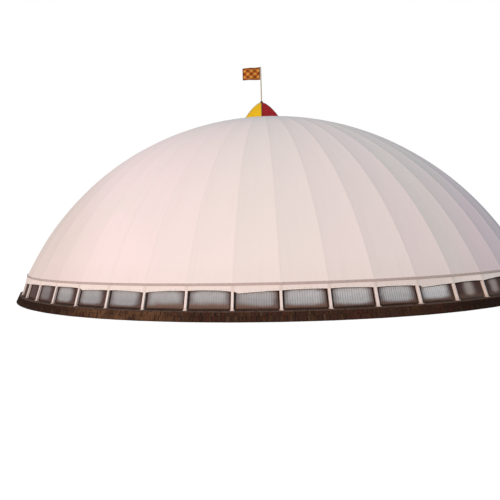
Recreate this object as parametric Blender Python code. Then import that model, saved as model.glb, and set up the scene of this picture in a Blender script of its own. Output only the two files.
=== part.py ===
"""Tensile membrane dome: steel ribs under a white membrane, on a masonry plinth, with a coloured crown cap and flag.

Metres, +Z up. The origin is on the ground under the crown, and a rib faces -Y.
"""

from math import asin, atan2, cos, hypot, pi, radians, sin, sqrt, tan

import bmesh
import bpy
from mathutils import Matrix, Vector

# Layout
BAYS = 48
SECTORS = 6
BAYS_PER_SECTOR = BAYS // SECTORS
RIB_FRAMES = 12
BAYS_PER_FRAME = BAYS // RIB_FRAMES
BAY_ANGLE = 2 * pi / BAYS
HALF_BAY = BAY_ANGLE / 2
FRONT = -pi / 2
SEAT = 0.0003  # joint left between two pieces that touch

# Dome
GORE_WIDTH = 2.40  # one membrane roll, at the eave
EAVE_RADIUS = GORE_WIDTH / (2 * sin(HALF_BAY))
EAVE_HEIGHT = 1.81
DOME_RADIUS = 20.40  # of the arc that the ribs' outer faces follow
ARC_CENTRE = EAVE_HEIGHT - sqrt(DOME_RADIUS**2 - EAVE_RADIUS**2)
ARC_STEPS = 9

# Masonry
PLINTH_HEIGHT = 0.53
PLINTH_OUTER = 18.94  # at its top
PLINTH_FOOT = 19.20
PLINTH_THICKNESS = 0.42
SLAB_THICKNESS = 0.12

# Ribs, square steel tube
RIB_WIDTH = 0.14
FOOT_RADIUS = 18.78  # the leg's outer face, at the top of the plinth
BASE_PLATE = 0.22
BASE_PLATE_THICKNESS = 0.015
RING_BEAM = 0.10
BEAM_LAP = 0.02

# Crown
CROWN_RADIUS = 1.12
CROWN_INNER_RADIUS = 0.84
CROWN_DEPTH = 0.20
SPOKES = 3
SPOKE_WIDTH = 0.10
HUB_RADIUS = 0.15
HUB_RISE = 0.10

# Membrane
MEMBRANE = 0.006
SAG_RATIO = 0.010  # of the gore's width, at its middle
SAG_POWER = 6
MEMBRANE_TOP_RADIUS = 0.96
HEM_DROP = 0.37  # from the eave to the free lower edge
RAIL_HEIGHT = 0.13
RAIL_THICKNESS = 0.04

# Ventilation band
SILL_HEIGHT = 0.07
SILL_WIDTH = 0.06
SCREEN = 0.006

# Cap, four bulging sides: its corner radius grows as this power of the distance below the tip
CAP_SIDES = 4
CAP_POWER = 0.62
CAP_EAVE_HEIGHT = 13.33
CAP_SEAT_HEIGHT = 13.45
CAP_TIP_HEIGHT = 14.77
CAP_CORNER_RADIUS = 1.50
CAP_TURN = -0.3 * BAY_ANGLE
CAP_ROWS = 6
CAP_SHEET = 0.004
CAP_FRAME_DEPTH = 0.04
CAP_POST = 0.05
CAP_POST_RADIUS = 0.895
CAP_TOP_RADIUS = 0.085
COLLAR_RADIUS = 0.12
COLLAR_TOP_RADIUS = 0.065
COLLAR_HEIGHT = 0.12

# Flag
POLE_RADIUS = 0.048
POLE_SIDES = 12
POLE_TOP = 17.58
FLAG_LENGTH = 1.42
FLAG_DEPTH = 1.00
FLAG_THICKNESS = 0.006
FLAG_WAVE = 0.07
FLAG_COLUMNS = 10
FLAG_DROP = 0.02  # from the pole's top to the flag

COLOURS = {
    "membrane": ((0.86, 0.80, 0.77), 0.55, 0.0),
    "rib_paint": ((0.84, 0.77, 0.73), 0.45, 0.0),
    "rail_paint": ((0.50, 0.42, 0.38), 0.50, 0.2),
    "screen": ((0.55, 0.57, 0.58), 0.60, 0.0),
    "plinth_stone": ((0.085, 0.045, 0.032), 0.85, 0.0),
    "slab_concrete": ((0.42, 0.40, 0.38), 0.90, 0.0),
    "cap_yellow": ((0.88, 0.62, 0.03), 0.50, 0.0),
    "cap_red": ((0.42, 0.02, 0.03), 0.50, 0.0),
    "collar_paint": ((0.04, 0.03, 0.03), 0.50, 0.2),
    "pole_paint": ((0.70, 0.69, 0.66), 0.40, 0.2),
    "flag_cloth": ((0.75, 0.22, 0.03), 0.70, 0.0),
}


def clear_scene():
    for obj in list(bpy.data.objects):
        bpy.data.objects.remove(obj)


def material(name):
    found = bpy.data.materials.get(name)
    if found:
        return found
    colour, roughness, metallic = COLOURS[name]
    made = bpy.data.materials.new(name)
    made.use_nodes = True
    shader = made.node_tree.nodes["Principled BSDF"]
    shader.inputs["Base Color"].default_value = (*colour, 1.0)
    shader.inputs["Roughness"].default_value = roughness
    shader.inputs["Metallic"].default_value = metallic
    return made


def new_object(name, mesh, finish, parent=None):
    obj = bpy.data.objects.new(name, mesh)
    obj.data.materials.append(material(finish))
    bpy.context.scene.collection.objects.link(obj)
    obj.parent = parent
    return obj


def mesh_of(name, points, faces):
    """A closed mesh whose faces all point outwards."""
    shape = bmesh.new()
    verts = [shape.verts.new(p) for p in points]
    for face in faces:
        shape.faces.new([verts[i] for i in face])
    bmesh.ops.recalc_face_normals(shape, faces=shape.faces)
    mesh = bpy.data.meshes.new(name)
    shape.to_mesh(mesh)
    shape.free()
    return mesh


def loft(name, rings, closed=False):
    """A solid through rings of equally many points: a row of prisms, or a closed loop of them."""
    size = len(rings[0])
    faces = []
    for k in range(len(rings) if closed else len(rings) - 1):
        here = k * size
        there = (k + 1) % len(rings) * size
        for j in range(size):
            following = (j + 1) % size
            faces.append((here + j, here + following, there + following, there + j))
    if not closed:
        faces.append(tuple(range(size)))
        faces.append(tuple(range((len(rings) - 1) * size, len(rings) * size)))
    return mesh_of(name, [p for ring in rings for p in ring], faces)


def sheet(name, outer, inner):
    """A sheet between two grids of points. Both grids are split along the same diagonals, so its thickness holds."""
    columns, rows = len(outer), len(outer[0])
    points = [p for grid in (outer, inner) for column in grid for p in column]
    under = columns * rows

    def at(i, j, side):
        return side * under + i * rows + j

    faces = []
    for side in (0, 1):
        for i in range(columns - 1):
            for j in range(rows - 1):
                a, b = at(i, j, side), at(i + 1, j, side)
                c, d = at(i + 1, j + 1, side), at(i, j + 1, side)
                even = i % 2 == 0
                faces += [(a, b, d), (b, c, d)] if even else [(a, b, c), (a, c, d)]
    for j in range(rows - 1):
        for i in (0, columns - 1):
            faces.append((at(i, j, 0), at(i, j + 1, 0), at(i, j + 1, 1), at(i, j, 1)))
    for i in range(columns - 1):
        for j in (0, rows - 1):
            faces.append((at(i, j, 0), at(i + 1, j, 0), at(i + 1, j, 1), at(i, j, 1)))
    return mesh_of(name, points, faces)


def place(azimuth, radius, height, aside=0.0):
    """The point at a radius and height on a line of azimuth, shifted aside at right angles to it."""
    return Vector(
        (
            radius * cos(azimuth) - aside * sin(azimuth),
            radius * sin(azimuth) + aside * cos(azimuth),
            height,
        )
    )


def rib_azimuth(i):
    return FRONT + i * BAY_ANGLE


def ring_run(section, first, last, start=SEAT, end=SEAT):
    """Rings along a polygon with a corner on each rib line, cut short of the first and last rib line by start and end."""
    rings = [
        [place(rib_azimuth(first), r - start * tan(HALF_BAY), z, start) for r, z in section]
    ]
    for i in range(first + 1, last):
        rings.append([place(rib_azimuth(i), r, z) for r, z in section])
    rings.append(
        [place(rib_azimuth(last), r - end * tan(HALF_BAY), z, -end) for r, z in section]
    )
    return rings


def polar(step):
    """The angle from the dome's axis to a station of the arc: 0 at the eave, ARC_STEPS at the crown."""
    eave = asin(EAVE_RADIUS / DOME_RADIUS)
    crown = asin(CROWN_RADIUS / DOME_RADIUS)
    return eave + (crown - eave) * step / ARC_STEPS


def rib_line():
    """The rib's outer face in its own plane: the leg's foot, the eave, then the arc's stations up to the crown."""
    line = [(FOOT_RADIUS, PLINTH_HEIGHT)]
    for step in range(ARC_STEPS + 1):
        angle = polar(step)
        line.append((DOME_RADIUS * sin(angle), ARC_CENTRE + DOME_RADIUS * cos(angle)))
    return line


def shifted(line, distance):
    """The line moved outwards by a distance, with mitred corners. Its first point keeps its height, its last its radius."""
    normals = []
    for (r0, z0), (r1, z1) in zip(line, line[1:]):
        length = hypot(r1 - r0, z1 - z0)
        normals.append(((z1 - z0) / length, (r0 - r1) / length))
    moved = []
    for k, (r, z) in enumerate(line):
        before = normals[max(k - 1, 0)]
        after = normals[min(k, len(normals) - 1)]
        bisector = (before[0] + after[0], before[1] + after[1])
        reach = distance / (bisector[0] * before[0] + bisector[1] * before[1])
        moved.append((r + bisector[0] * reach, z + bisector[1] * reach))
    (r0, z0), (r1, z1) = moved[0], moved[1]
    share = (line[0][1] - z0) / (z1 - z0)
    moved[0] = (r0 + share * (r1 - r0), line[0][1])
    (r0, z0), (r1, z1) = moved[-2], moved[-1]
    share = (line[-1][0] - r0) / (r1 - r0)
    moved[-1] = (line[-1][0], z0 + share * (z1 - z0))
    return moved


def at_height(line, height):
    """The radius of the leg, the line's first stretch, at a height."""
    (r0, z0), (r1, z1) = line[0], line[1]
    return r0 + (r1 - r0) * (height - z0) / (z1 - z0)


def at_radius(line, radius):
    """The point at a radius on the line's last stretch, or past its end."""
    (r0, z0), (r1, z1) = line[-2], line[-1]
    return radius, z0 + (z1 - z0) * (radius - r0) / (r1 - r0)


RIB_LINE = rib_line()
RIB_INNER_LINE = shifted(RIB_LINE, -RIB_WIDTH)
RIB_AXIS = shifted(RIB_LINE, -RIB_WIDTH / 2)
PLATE_TOP = PLINTH_HEIGHT + SEAT + BASE_PLATE_THICKNESS
MOST_SAG_SLOPE = 2 * SAG_RATIO
# The membrane's ridge stands this far off the rib, so that the sheet falling to both sides touches the rib's corners.
RIDGE_RISE = RIB_WIDTH / 2 * (tan(HALF_BAY) + MOST_SAG_SLOPE) + SEAT


def union(obj, others):
    """Joins the others into obj and keeps the result as its mesh."""
    group = bpy.data.collections.new(obj.name + "_joined")
    bpy.context.scene.collection.children.link(group)
    for other in others:
        bpy.context.scene.collection.objects.unlink(other)
        group.objects.link(other)
    join = obj.modifiers.new("join", "BOOLEAN")
    join.operation = "UNION"
    join.operand_type = "COLLECTION"
    join.collection = group
    join.solver = "EXACT"
    bpy.context.view_layer.update()
    evaluated = obj.evaluated_get(bpy.context.evaluated_depsgraph_get())
    mesh = bpy.data.meshes.new_from_object(evaluated)
    obj.modifiers.clear()
    obj.data = mesh
    for other in others:
        bpy.data.objects.remove(other)
    bpy.data.collections.remove(group)
    return obj


def box(name, size, centre, turn, finish):
    shape = bmesh.new()
    bmesh.ops.create_cube(shape, size=1.0)
    bmesh.ops.scale(shape, vec=size, verts=shape.verts)
    bmesh.ops.rotate(shape, matrix=Matrix.Rotation(turn, 3, "Z"), verts=shape.verts)
    bmesh.ops.translate(shape, vec=centre, verts=shape.verts)
    mesh = bpy.data.meshes.new(name)
    shape.to_mesh(mesh)
    shape.free()
    return new_object(name, mesh, finish)


def turned(name, outline, sides, finish, turn=0.0):
    """A solid of revolution, faceted: outline is a closed loop of (radius, height) off the axis, or a solid's profile."""
    rings = [
        [place(turn + 2 * pi * k / sides, r, z) for r, z in outline] for k in range(sides)
    ]
    return new_object(name, loft(name, rings, closed=True), finish)


def stack(name, levels, sides, finish, turn=0.0):
    """A solid built of level polygons: (radius, height) from bottom to top."""
    rings = [
        [place(turn + 2 * pi * k / sides, r, z) for k in range(sides)] for r, z in levels
    ]
    return new_object(name, loft(name, rings), finish)


def sector_ribs(sector):
    """The first and last rib line of a sector."""
    return sector * BAYS_PER_SECTOR, (sector + 1) * BAYS_PER_SECTOR


def make_plinth(parent):
    inner = PLINTH_OUTER - PLINTH_THICKNESS
    section = [
        (PLINTH_FOOT, 0),
        (PLINTH_OUTER, PLINTH_HEIGHT),
        (inner, PLINTH_HEIGHT),
        (inner, 0),
    ]
    for sector in range(SECTORS):
        name = f"plinth_wall_{sector + 1}"
        rings = ring_run(section, *sector_ribs(sector))
        new_object(name, loft(name, rings), "plinth_stone", parent)
    edge = inner - SEAT
    slab = stack(
        "floor_slab", [(edge, 0), (edge, SLAB_THICKNESS)], BAYS, "slab_concrete", FRONT
    )
    slab.parent = parent


def rib(name, i):
    """One rib: a base plate on the plinth, a leaning leg, and the arc up to the crown ring."""
    azimuth = rib_azimuth(i)
    half = RIB_WIDTH / 2
    plate = BASE_PLATE / 2
    foot = RIB_AXIS[0][0]

    def ring(outer, inner, aside):
        corners = ((outer, -aside), (outer, aside), (inner, aside), (inner, -aside))
        return [place(azimuth, r, z, t) for (r, z), t in corners]

    rings = []
    for height in (PLINTH_HEIGHT + SEAT, PLATE_TOP):
        rings.append(ring((foot + plate, height), (foot - plate, height), plate))
    outer_foot = (at_height(RIB_LINE, PLATE_TOP), PLATE_TOP)
    inner_foot = (at_height(RIB_INNER_LINE, PLATE_TOP), PLATE_TOP)
    rings.append(ring(outer_foot, inner_foot, half))
    for outer, inner in zip(RIB_LINE[1:], RIB_INNER_LINE[1:]):
        rings.append(ring(outer, inner, half))
    return new_object(name, loft(name, rings), "rib_paint")


def make_rib_frames(parent):
    """Frames of four ribs, each joined by its length of the ring beam at the eave."""
    radius, height = RIB_AXIS[1]
    half = RING_BEAM / 2
    section = [
        (radius + half, height - half),
        (radius + half, height + half),
        (radius - half, height + half),
        (radius - half, height - half),
    ]
    for number in range(RIB_FRAMES):
        first, last = number * BAYS_PER_FRAME, (number + 1) * BAYS_PER_FRAME
        name = f"rib_frame_{number + 1}"
        rings = ring_run(section, first, last, BEAM_LAP, RIB_WIDTH / 2 + SEAT)
        frame = new_object(name, loft(name, rings), "rib_paint", parent)
        union(frame, [rib(f"rib_{i}", i) for i in range(first, last)])


def make_screens(parent):
    """The ventilation band inside the legs: a thin screen that stands on a sill laid over the base plates."""
    face = shifted(RIB_LINE, -RIB_WIDTH - SEAT)
    back = shifted(RIB_LINE, -RIB_WIDTH - SEAT - SCREEN)
    foot = PLATE_TOP + SEAT
    sill_top = foot + SILL_HEIGHT
    top = EAVE_HEIGHT - RING_BEAM
    sill_back = at_height(face, foot) - SILL_WIDTH
    section = [
        (at_height(face, foot), foot),
        (at_height(face, top), top),
        (at_height(back, top), top),
        (at_height(back, sill_top), sill_top),
        (sill_back, sill_top),
        (sill_back, foot),
    ]
    for sector in range(SECTORS):
        name = f"vent_screen_{sector + 1}"
        rings = ring_run(section, *sector_ribs(sector))
        new_object(name, loft(name, rings), "screen", parent)


def sag(step):
    """How far the middle of a gore hangs inside its ribs, at a station of the arc. It is held straight at both ends."""
    share = min(max(step / ARC_STEPS, 0.0), 1.0)
    width = 2 * DOME_RADIUS * sin(polar(step)) * sin(HALF_BAY)
    return SAG_RATIO * width * (1 - (2 * share - 1) ** SAG_POWER)


def membrane_line(distance):
    """The membrane at its ridge, from its hem over the eave to its top edge on the crown ring."""
    line = shifted(RIB_LINE, distance)
    hem = EAVE_HEIGHT - HEM_DROP
    line[0] = (at_height(line, hem), hem)
    line[-1] = at_radius(line, MEMBRANE_TOP_RADIUS)
    return line


def gore_middle(line):
    """The same line half-way between two ribs: on the chord, and hanging inwards by its sag."""
    middle = []
    for k, (r, z) in enumerate(line):
        step = k - 1
        angle = polar(max(step, 0))
        depth = sag(step) if step > 0 else 0.0
        middle.append((r * cos(HALF_BAY) - depth * sin(angle), z - depth * cos(angle)))
    return middle


def membrane_grid(distance, first, last):
    ridge = membrane_line(distance)
    middle = gore_middle(ridge)
    columns = [
        [place(rib_azimuth(first), r - SEAT * tan(HALF_BAY), z, SEAT) for r, z in ridge]
    ]
    for i in range(first, last):
        columns.append([place(rib_azimuth(i + 0.5), r, z) for r, z in middle])
        if i + 1 < last:
            columns.append([place(rib_azimuth(i + 1), r, z) for r, z in ridge])
    columns.append(
        [place(rib_azimuth(last), r - SEAT * tan(HALF_BAY), z, -SEAT) for r, z in ridge]
    )
    return columns


def make_membrane(parent):
    for sector in range(SECTORS):
        name = f"membrane_{sector + 1}"
        first, last = sector_ribs(sector)
        outer = membrane_grid(RIDGE_RISE + MEMBRANE, first, last)
        inner = membrane_grid(RIDGE_RISE, first, last)
        new_object(name, sheet(name, outer, inner), "membrane", parent)


def make_eave_rails(parent):
    """The clamping rail that holds the membrane down all round the eave, bent to follow it."""

    def bent(distance):
        """The rail's face at a distance outside the ribs: below, at and above the eave's bend."""
        line = shifted(RIB_LINE, distance)
        points = []
        for other, share in ((0, RAIL_HEIGHT / 2), (1, 0.0), (2, RAIL_HEIGHT / 2)):
            (r0, z0), (r1, z1) = line[1], line[other]
            length = hypot(r1 - r0, z1 - z0) or 1.0
            points.append((r0 + (r1 - r0) * share / length, z0 + (z1 - z0) * share / length))
        return points

    face = RIDGE_RISE + MEMBRANE + SEAT
    section = bent(face + RAIL_THICKNESS) + bent(face)[::-1]
    for sector in range(SECTORS):
        name = f"eave_rail_{sector + 1}"
        rings = ring_run(section, *sector_ribs(sector))
        new_object(name, loft(name, rings), "rail_paint", parent)


def crown_top():
    """The level of the crown ring's top, which the membrane's top edge lies on."""
    middle = gore_middle(membrane_line(RIDGE_RISE))
    return at_radius(middle, CROWN_RADIUS / cos(HALF_BAY))[1] - SEAT


def make_crown(parent):
    """The ring that the ribs meet, with spokes across it and a hub that carries the flag pole."""
    top = crown_top()
    bottom = top - CROWN_DEPTH
    outer = (CROWN_RADIUS - SEAT) / cos(HALF_BAY)
    outline = [
        (outer, bottom),
        (outer, top),
        (CROWN_INNER_RADIUS, top),
        (CROWN_INNER_RADIUS, bottom),
    ]
    ring = turned("crown_ring", outline, BAYS, "rib_paint", FRONT + HALF_BAY)
    ring.parent = parent
    middle = (top + bottom) / 2
    reach = CROWN_INNER_RADIUS + CROWN_RADIUS
    pieces = []
    for k in range(SPOKES):
        size = (reach, SPOKE_WIDTH, CROWN_DEPTH / 2)
        turn = FRONT + k * pi / SPOKES
        pieces.append(box(f"spoke_{k}", size, (0, 0, middle), turn, "rib_paint"))
    levels = [(HUB_RADIUS, bottom - HUB_RISE / 2), (HUB_RADIUS, top + HUB_RISE)]
    pieces.append(stack("hub", levels, POLE_SIDES, "rib_paint"))
    # Spokes and hub are joined first, because the spokes cross one another.
    hub = union(pieces[-1], pieces[:1])
    for spoke in pieces[1:-1]:
        union(hub, [spoke])
    union(ring, [hub])


def cap_corner(height):
    """The cap's corner radius at a height."""
    share = (CAP_TIP_HEIGHT - height) / (CAP_TIP_HEIGHT - CAP_EAVE_HEIGHT)
    return CAP_CORNER_RADIUS * share**CAP_POWER


def cap_levels():
    """Heights of the cap's rows: its eave, its seat on the frame, then evenly inwards up to the collar."""
    levels = [CAP_EAVE_HEIGHT]
    low = cap_corner(CAP_SEAT_HEIGHT)
    for row in range(CAP_ROWS):
        radius = low + (CAP_TOP_RADIUS - low) * row / (CAP_ROWS - 1)
        share = (radius / CAP_CORNER_RADIUS) ** (1 / CAP_POWER)
        levels.append(CAP_TIP_HEIGHT - (CAP_TIP_HEIGHT - CAP_EAVE_HEIGHT) * share)
    return levels


def cap_line():
    """The middle of one cap side: (distance from the axis, height) of its outer face."""
    return [(cap_corner(z) * cos(pi / CAP_SIDES), z) for z in cap_levels()]


def inward(line, thickness):
    """The line moved in by a thickness, measured square to it, at the same heights."""
    moved = []
    for k, (r, z) in enumerate(line):
        (r0, z0), (r1, z1) = line[max(k - 1, 0)], line[min(k + 1, len(line) - 1)]
        lean = atan2(abs(r1 - r0), abs(z1 - z0))
        moved.append((r - thickness / cos(lean), z))
    return moved


def make_cap(parent):
    """Curved sides, alternately yellow and red, that meet at hips and rest on a frame."""
    outer = cap_line()
    inner = inward(outer, CAP_SHEET)
    slant = tan(pi / CAP_SIDES)
    for k in range(CAP_SIDES):
        azimuth = FRONT + CAP_TURN + (k + 0.5) * 2 * pi / CAP_SIDES
        colour = ("red", "yellow")[k % 2]
        name = f"cap_{colour}_{k // 2 + 1}"

        def grid(line):
            columns = []
            for way in (-1, 1):
                columns.append(
                    [place(azimuth, r, z, way * (r * slant - SEAT)) for r, z in line]
                )
            return columns

        new_object(name, sheet(name, grid(outer), grid(inner)), f"cap_{colour}", parent)

    plate = inward(outer, CAP_SHEET + SEAT)[1][0]
    corner = 1 / cos(pi / CAP_SIDES)
    low = CAP_SEAT_HEIGHT - CAP_FRAME_DEPTH
    inside = (CROWN_INNER_RADIUS + SEAT) * corner
    outline = [
        (plate * corner, low),
        (plate * corner, CAP_SEAT_HEIGHT),
        (inside, CAP_SEAT_HEIGHT),
        (inside, low),
    ]
    frame = turned("cap_frame", outline, CAP_SIDES, "rib_paint", FRONT + CAP_TURN)
    frame.parent = parent
    foot = crown_top() + SEAT
    head = CAP_SEAT_HEIGHT - CAP_FRAME_DEPTH / 2
    posts = []
    for k in range(CAP_SIDES):
        azimuth = FRONT + CAP_TURN + (k + 0.5) * 2 * pi / CAP_SIDES
        centre = place(azimuth, CAP_POST_RADIUS, (foot + head) / 2)
        size = (CAP_POST, CAP_POST, head - foot)
        posts.append(box(f"post_{k}", size, centre, azimuth, "rib_paint"))
    union(frame, posts)


def make_collar(parent):
    """The dark collar round the pole that closes the cap's tip."""
    bore = POLE_RADIUS + SEAT
    top_edge = cap_line()[-1]
    foot = top_edge[1] + SEAT
    outline = [
        (COLLAR_RADIUS, foot),
        (COLLAR_TOP_RADIUS, foot + COLLAR_HEIGHT),
        (bore, foot + COLLAR_HEIGHT),
        (bore, foot),
    ]
    collar = turned("cap_collar", outline, POLE_SIDES, "collar_paint")
    collar.parent = parent


def make_flag(parent):
    """The pole on the crown's hub, and a flag that flies to -X."""
    foot = crown_top() + HUB_RISE + SEAT
    levels = [(POLE_RADIUS, foot), (POLE_RADIUS, POLE_TOP)]
    pole = stack("flag_pole", levels, POLE_SIDES, "pole_paint")
    pole.parent = parent
    top = POLE_TOP - FLAG_DROP
    faces = []
    for side in (-1, 1):
        columns = []
        for k in range(FLAG_COLUMNS + 1):
            share = k / FLAG_COLUMNS
            x = -POLE_RADIUS - SEAT - share * FLAG_LENGTH
            y = FLAG_WAVE * share**0.5 * sin(2.6 * pi * share)
            y += side * FLAG_THICKNESS / 2
            columns.append([Vector((x, y, top - FLAG_DEPTH)), Vector((x, y, top))])
        faces.append(columns)
    new_object("flag", sheet("flag", *faces), "flag_cloth", parent)


def main():
    clear_scene()
    dome = bpy.data.objects.new("membrane_dome", None)
    bpy.context.scene.collection.objects.link(dome)
    make_plinth(dome)
    make_rib_frames(dome)
    make_screens(dome)
    make_membrane(dome)
    make_eave_rails(dome)
    make_crown(dome)
    make_cap(dome)
    make_collar(dome)
    make_flag(dome)


main()
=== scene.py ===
"""Tensile membrane dome: the cloth, steel, screens, stone, cap and flag of the hall, built on its CAD model.

Metres, +Z up. The origin is on the ground under the crown, and a rib faces -Y.
"""

import random
from functools import cache
from math import asin, cos, hypot, pi, sin, sqrt, tan

import bmesh
import bpy
from bpy.props import FloatProperty, FloatVectorProperty, IntProperty, PointerProperty
from mathutils import Matrix, Vector, noise


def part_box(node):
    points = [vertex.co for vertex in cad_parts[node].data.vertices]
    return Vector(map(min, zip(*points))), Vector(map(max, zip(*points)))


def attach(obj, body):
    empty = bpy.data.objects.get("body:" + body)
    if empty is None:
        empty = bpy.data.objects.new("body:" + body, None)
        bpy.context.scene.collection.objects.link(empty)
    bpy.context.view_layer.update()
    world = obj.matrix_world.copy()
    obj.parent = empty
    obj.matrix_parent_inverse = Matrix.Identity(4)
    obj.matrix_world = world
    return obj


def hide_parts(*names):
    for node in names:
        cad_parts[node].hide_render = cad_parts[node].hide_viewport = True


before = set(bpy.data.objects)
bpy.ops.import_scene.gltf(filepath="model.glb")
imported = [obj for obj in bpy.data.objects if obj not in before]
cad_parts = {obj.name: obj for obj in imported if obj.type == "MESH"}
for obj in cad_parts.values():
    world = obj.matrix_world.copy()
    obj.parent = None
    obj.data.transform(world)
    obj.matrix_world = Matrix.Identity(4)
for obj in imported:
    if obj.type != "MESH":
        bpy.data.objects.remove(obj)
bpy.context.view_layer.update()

bl_info = {
    "name": "Membrane Dome Hall",
    "version": (1, 0, 0),
    "blender": (4, 5, 0),
    "location": "3D View > Sidebar > Dome",
    "description": "Builds the cloth, steel, screens, stone, cap and flag of a membrane dome hall",
    "category": "Add Mesh",
}

# Layout of the hall, as its CAD model has it
BAYS = 48
SECTORS = 6
BAYS_PER_SECTOR = BAYS // SECTORS
BAY_ANGLE = 2 * pi / BAYS
HALF_BAY = BAY_ANGLE / 2
FRONT = -pi / 2
SEAT = 0.0003
GORE_WIDTH = 2.40
EAVE_RADIUS = GORE_WIDTH / (2 * sin(HALF_BAY))
EAVE_HEIGHT = 1.81
DOME_RADIUS = 20.40
ARC_CENTRE = EAVE_HEIGHT - sqrt(DOME_RADIUS**2 - EAVE_RADIUS**2)
PLINTH_HEIGHT = 0.53
PLINTH_OUTER = 18.94
PLINTH_FOOT = 19.20
PLINTH_INNER = PLINTH_OUTER - 0.42
BATTER = (PLINTH_FOOT - PLINTH_OUTER) / PLINTH_HEIGHT
RIB_WIDTH = 0.14
FOOT_RADIUS = 18.78
BASE_PLATE = 0.22
BASE_PLATE_THICKNESS = 0.015
RING_BEAM = 0.10
CROWN_RADIUS = 1.12
SAG_RATIO = 0.010
SAG_POWER = 6
MEMBRANE_TOP_RADIUS = 0.96
HEM_DROP = 0.37
RAIL_HEIGHT = 0.13
RAIL_THICKNESS = 0.04
SILL_HEIGHT = 0.07
SILL_WIDTH = 0.06
SCREEN_THICKNESS = 0.002
ROPE_SIDES = 8
CAP_SIDES = 4
CAP_SIDE_ANGLE = 2 * pi / CAP_SIDES
CAP_POWER = 0.62
CAP_EAVE_HEIGHT = 13.33
CAP_TIP_HEIGHT = 14.77
CAP_CORNER_RADIUS = 1.50
CAP_AZIMUTH = FRONT - 0.3 * BAY_ANGLE
CAP_TOP_RADIUS = 0.085
POLE_RADIUS = 0.048
POLE_TOP = 17.58
FLAG_LENGTH = 1.42
FLAG_DEPTH = 1.00
FLAG_DROP = 0.02

EAVE_ANGLE = asin(EAVE_RADIUS / DOME_RADIUS)
CROWN_ANGLE = asin(CROWN_RADIUS / DOME_RADIUS)
PLATE_TOP = PLINTH_HEIGHT + SEAT + BASE_PLATE_THICKNESS
RIDGE_RISE = RIB_WIDTH / 2 * (tan(HALF_BAY) + 2 * SAG_RATIO) + SEAT
LEG_RUN = FOOT_RADIUS - EAVE_RADIUS
LEG_RISE = EAVE_HEIGHT - PLINTH_HEIGHT
LEG_NORMAL = (LEG_RISE / hypot(LEG_RUN, LEG_RISE), LEG_RUN / hypot(LEG_RUN, LEG_RISE))

# Paints and pores that only small or hidden pieces have
ROPE_WHITE = (0.84, 0.78, 0.72)
EYELET_GREY = (0.60, 0.54, 0.49)
ANCHOR_GREY = (0.34, 0.29, 0.26)
BOLT_GREY = (0.40, 0.34, 0.31)
MORTAR_PORES = (0.012, 0.008, 0.006)
SLAB_PORES = (0.30, 0.28, 0.26)


def length(name, description, default):
    return FloatProperty(
        name=name,
        description=description,
        default=default,
        min=0.0,
        max=1.0,
        subtype="DISTANCE",
        unit="LENGTH",
        precision=4,
    )


def colour(name, description, default):
    return FloatVectorProperty(
        name=name, description=description, default=default, size=3, min=0.0, max=1.0, subtype="COLOR"
    )


class DomeSizes(bpy.types.PropertyGroup):
    """Sizes of the dressed pieces that a user may change."""

    cloth: length("Cloth", "Thickness of the coated cloth", 0.0025)
    seam: length("Seam", "Width of the welded lap over each rib", 0.085)
    hem_arch: length("Hem arch", "Rise of the free edge between two posts", 0.045)
    hem_flutter: length("Hem flutter", "How far the free edge billows between two posts", 0.022)
    hem_slack: length("Hem slack", "How far every fourth bay's hem droops behind its first post", 0.12)
    hem_rope: length("Hem rope", "Diameter of the rope in the free edge", 0.026)
    eyelet_pitch: length("Eyelet pitch", "Distance between two eyelets of the free edge", 0.30)
    bolt_pitch: length("Bolt pitch", "Distance between two bolts of the eave rail", 0.40)
    bolt_width: length("Bolt width", "Width of a hexagon head across its corners", 0.040)
    tube_corner: length("Tube corner", "Chamfer of the square tubes", 0.014)
    corrugation: length("Corrugation", "Pitch of the ribbed screens", 0.125)
    corrugation_depth: length("Corrugation depth", "Half the depth of the ribbed screens", 0.008)
    jamb: length("Jamb", "Width of the board behind each post", 0.32)
    stone: length("Stone", "Mean width of an upright facing stone", 0.125)
    stone_depth: length("Stone depth", "Mean depth of a facing stone", 0.11)
    mortar: length("Mortar", "How far the mortar lies behind the stones", 0.055)
    coping: length("Coping", "Thickness of the coping slabs", 0.055)
    trim: length("Trim", "Width of the trim along the cap's hips and eaves", 0.05)
    flag_wave: length("Flag wave", "Depth of the flag's waves", 0.07)
    stone_seed: IntProperty(name="Stone seed", description="Pattern of the stones", default=7, min=0)


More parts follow.
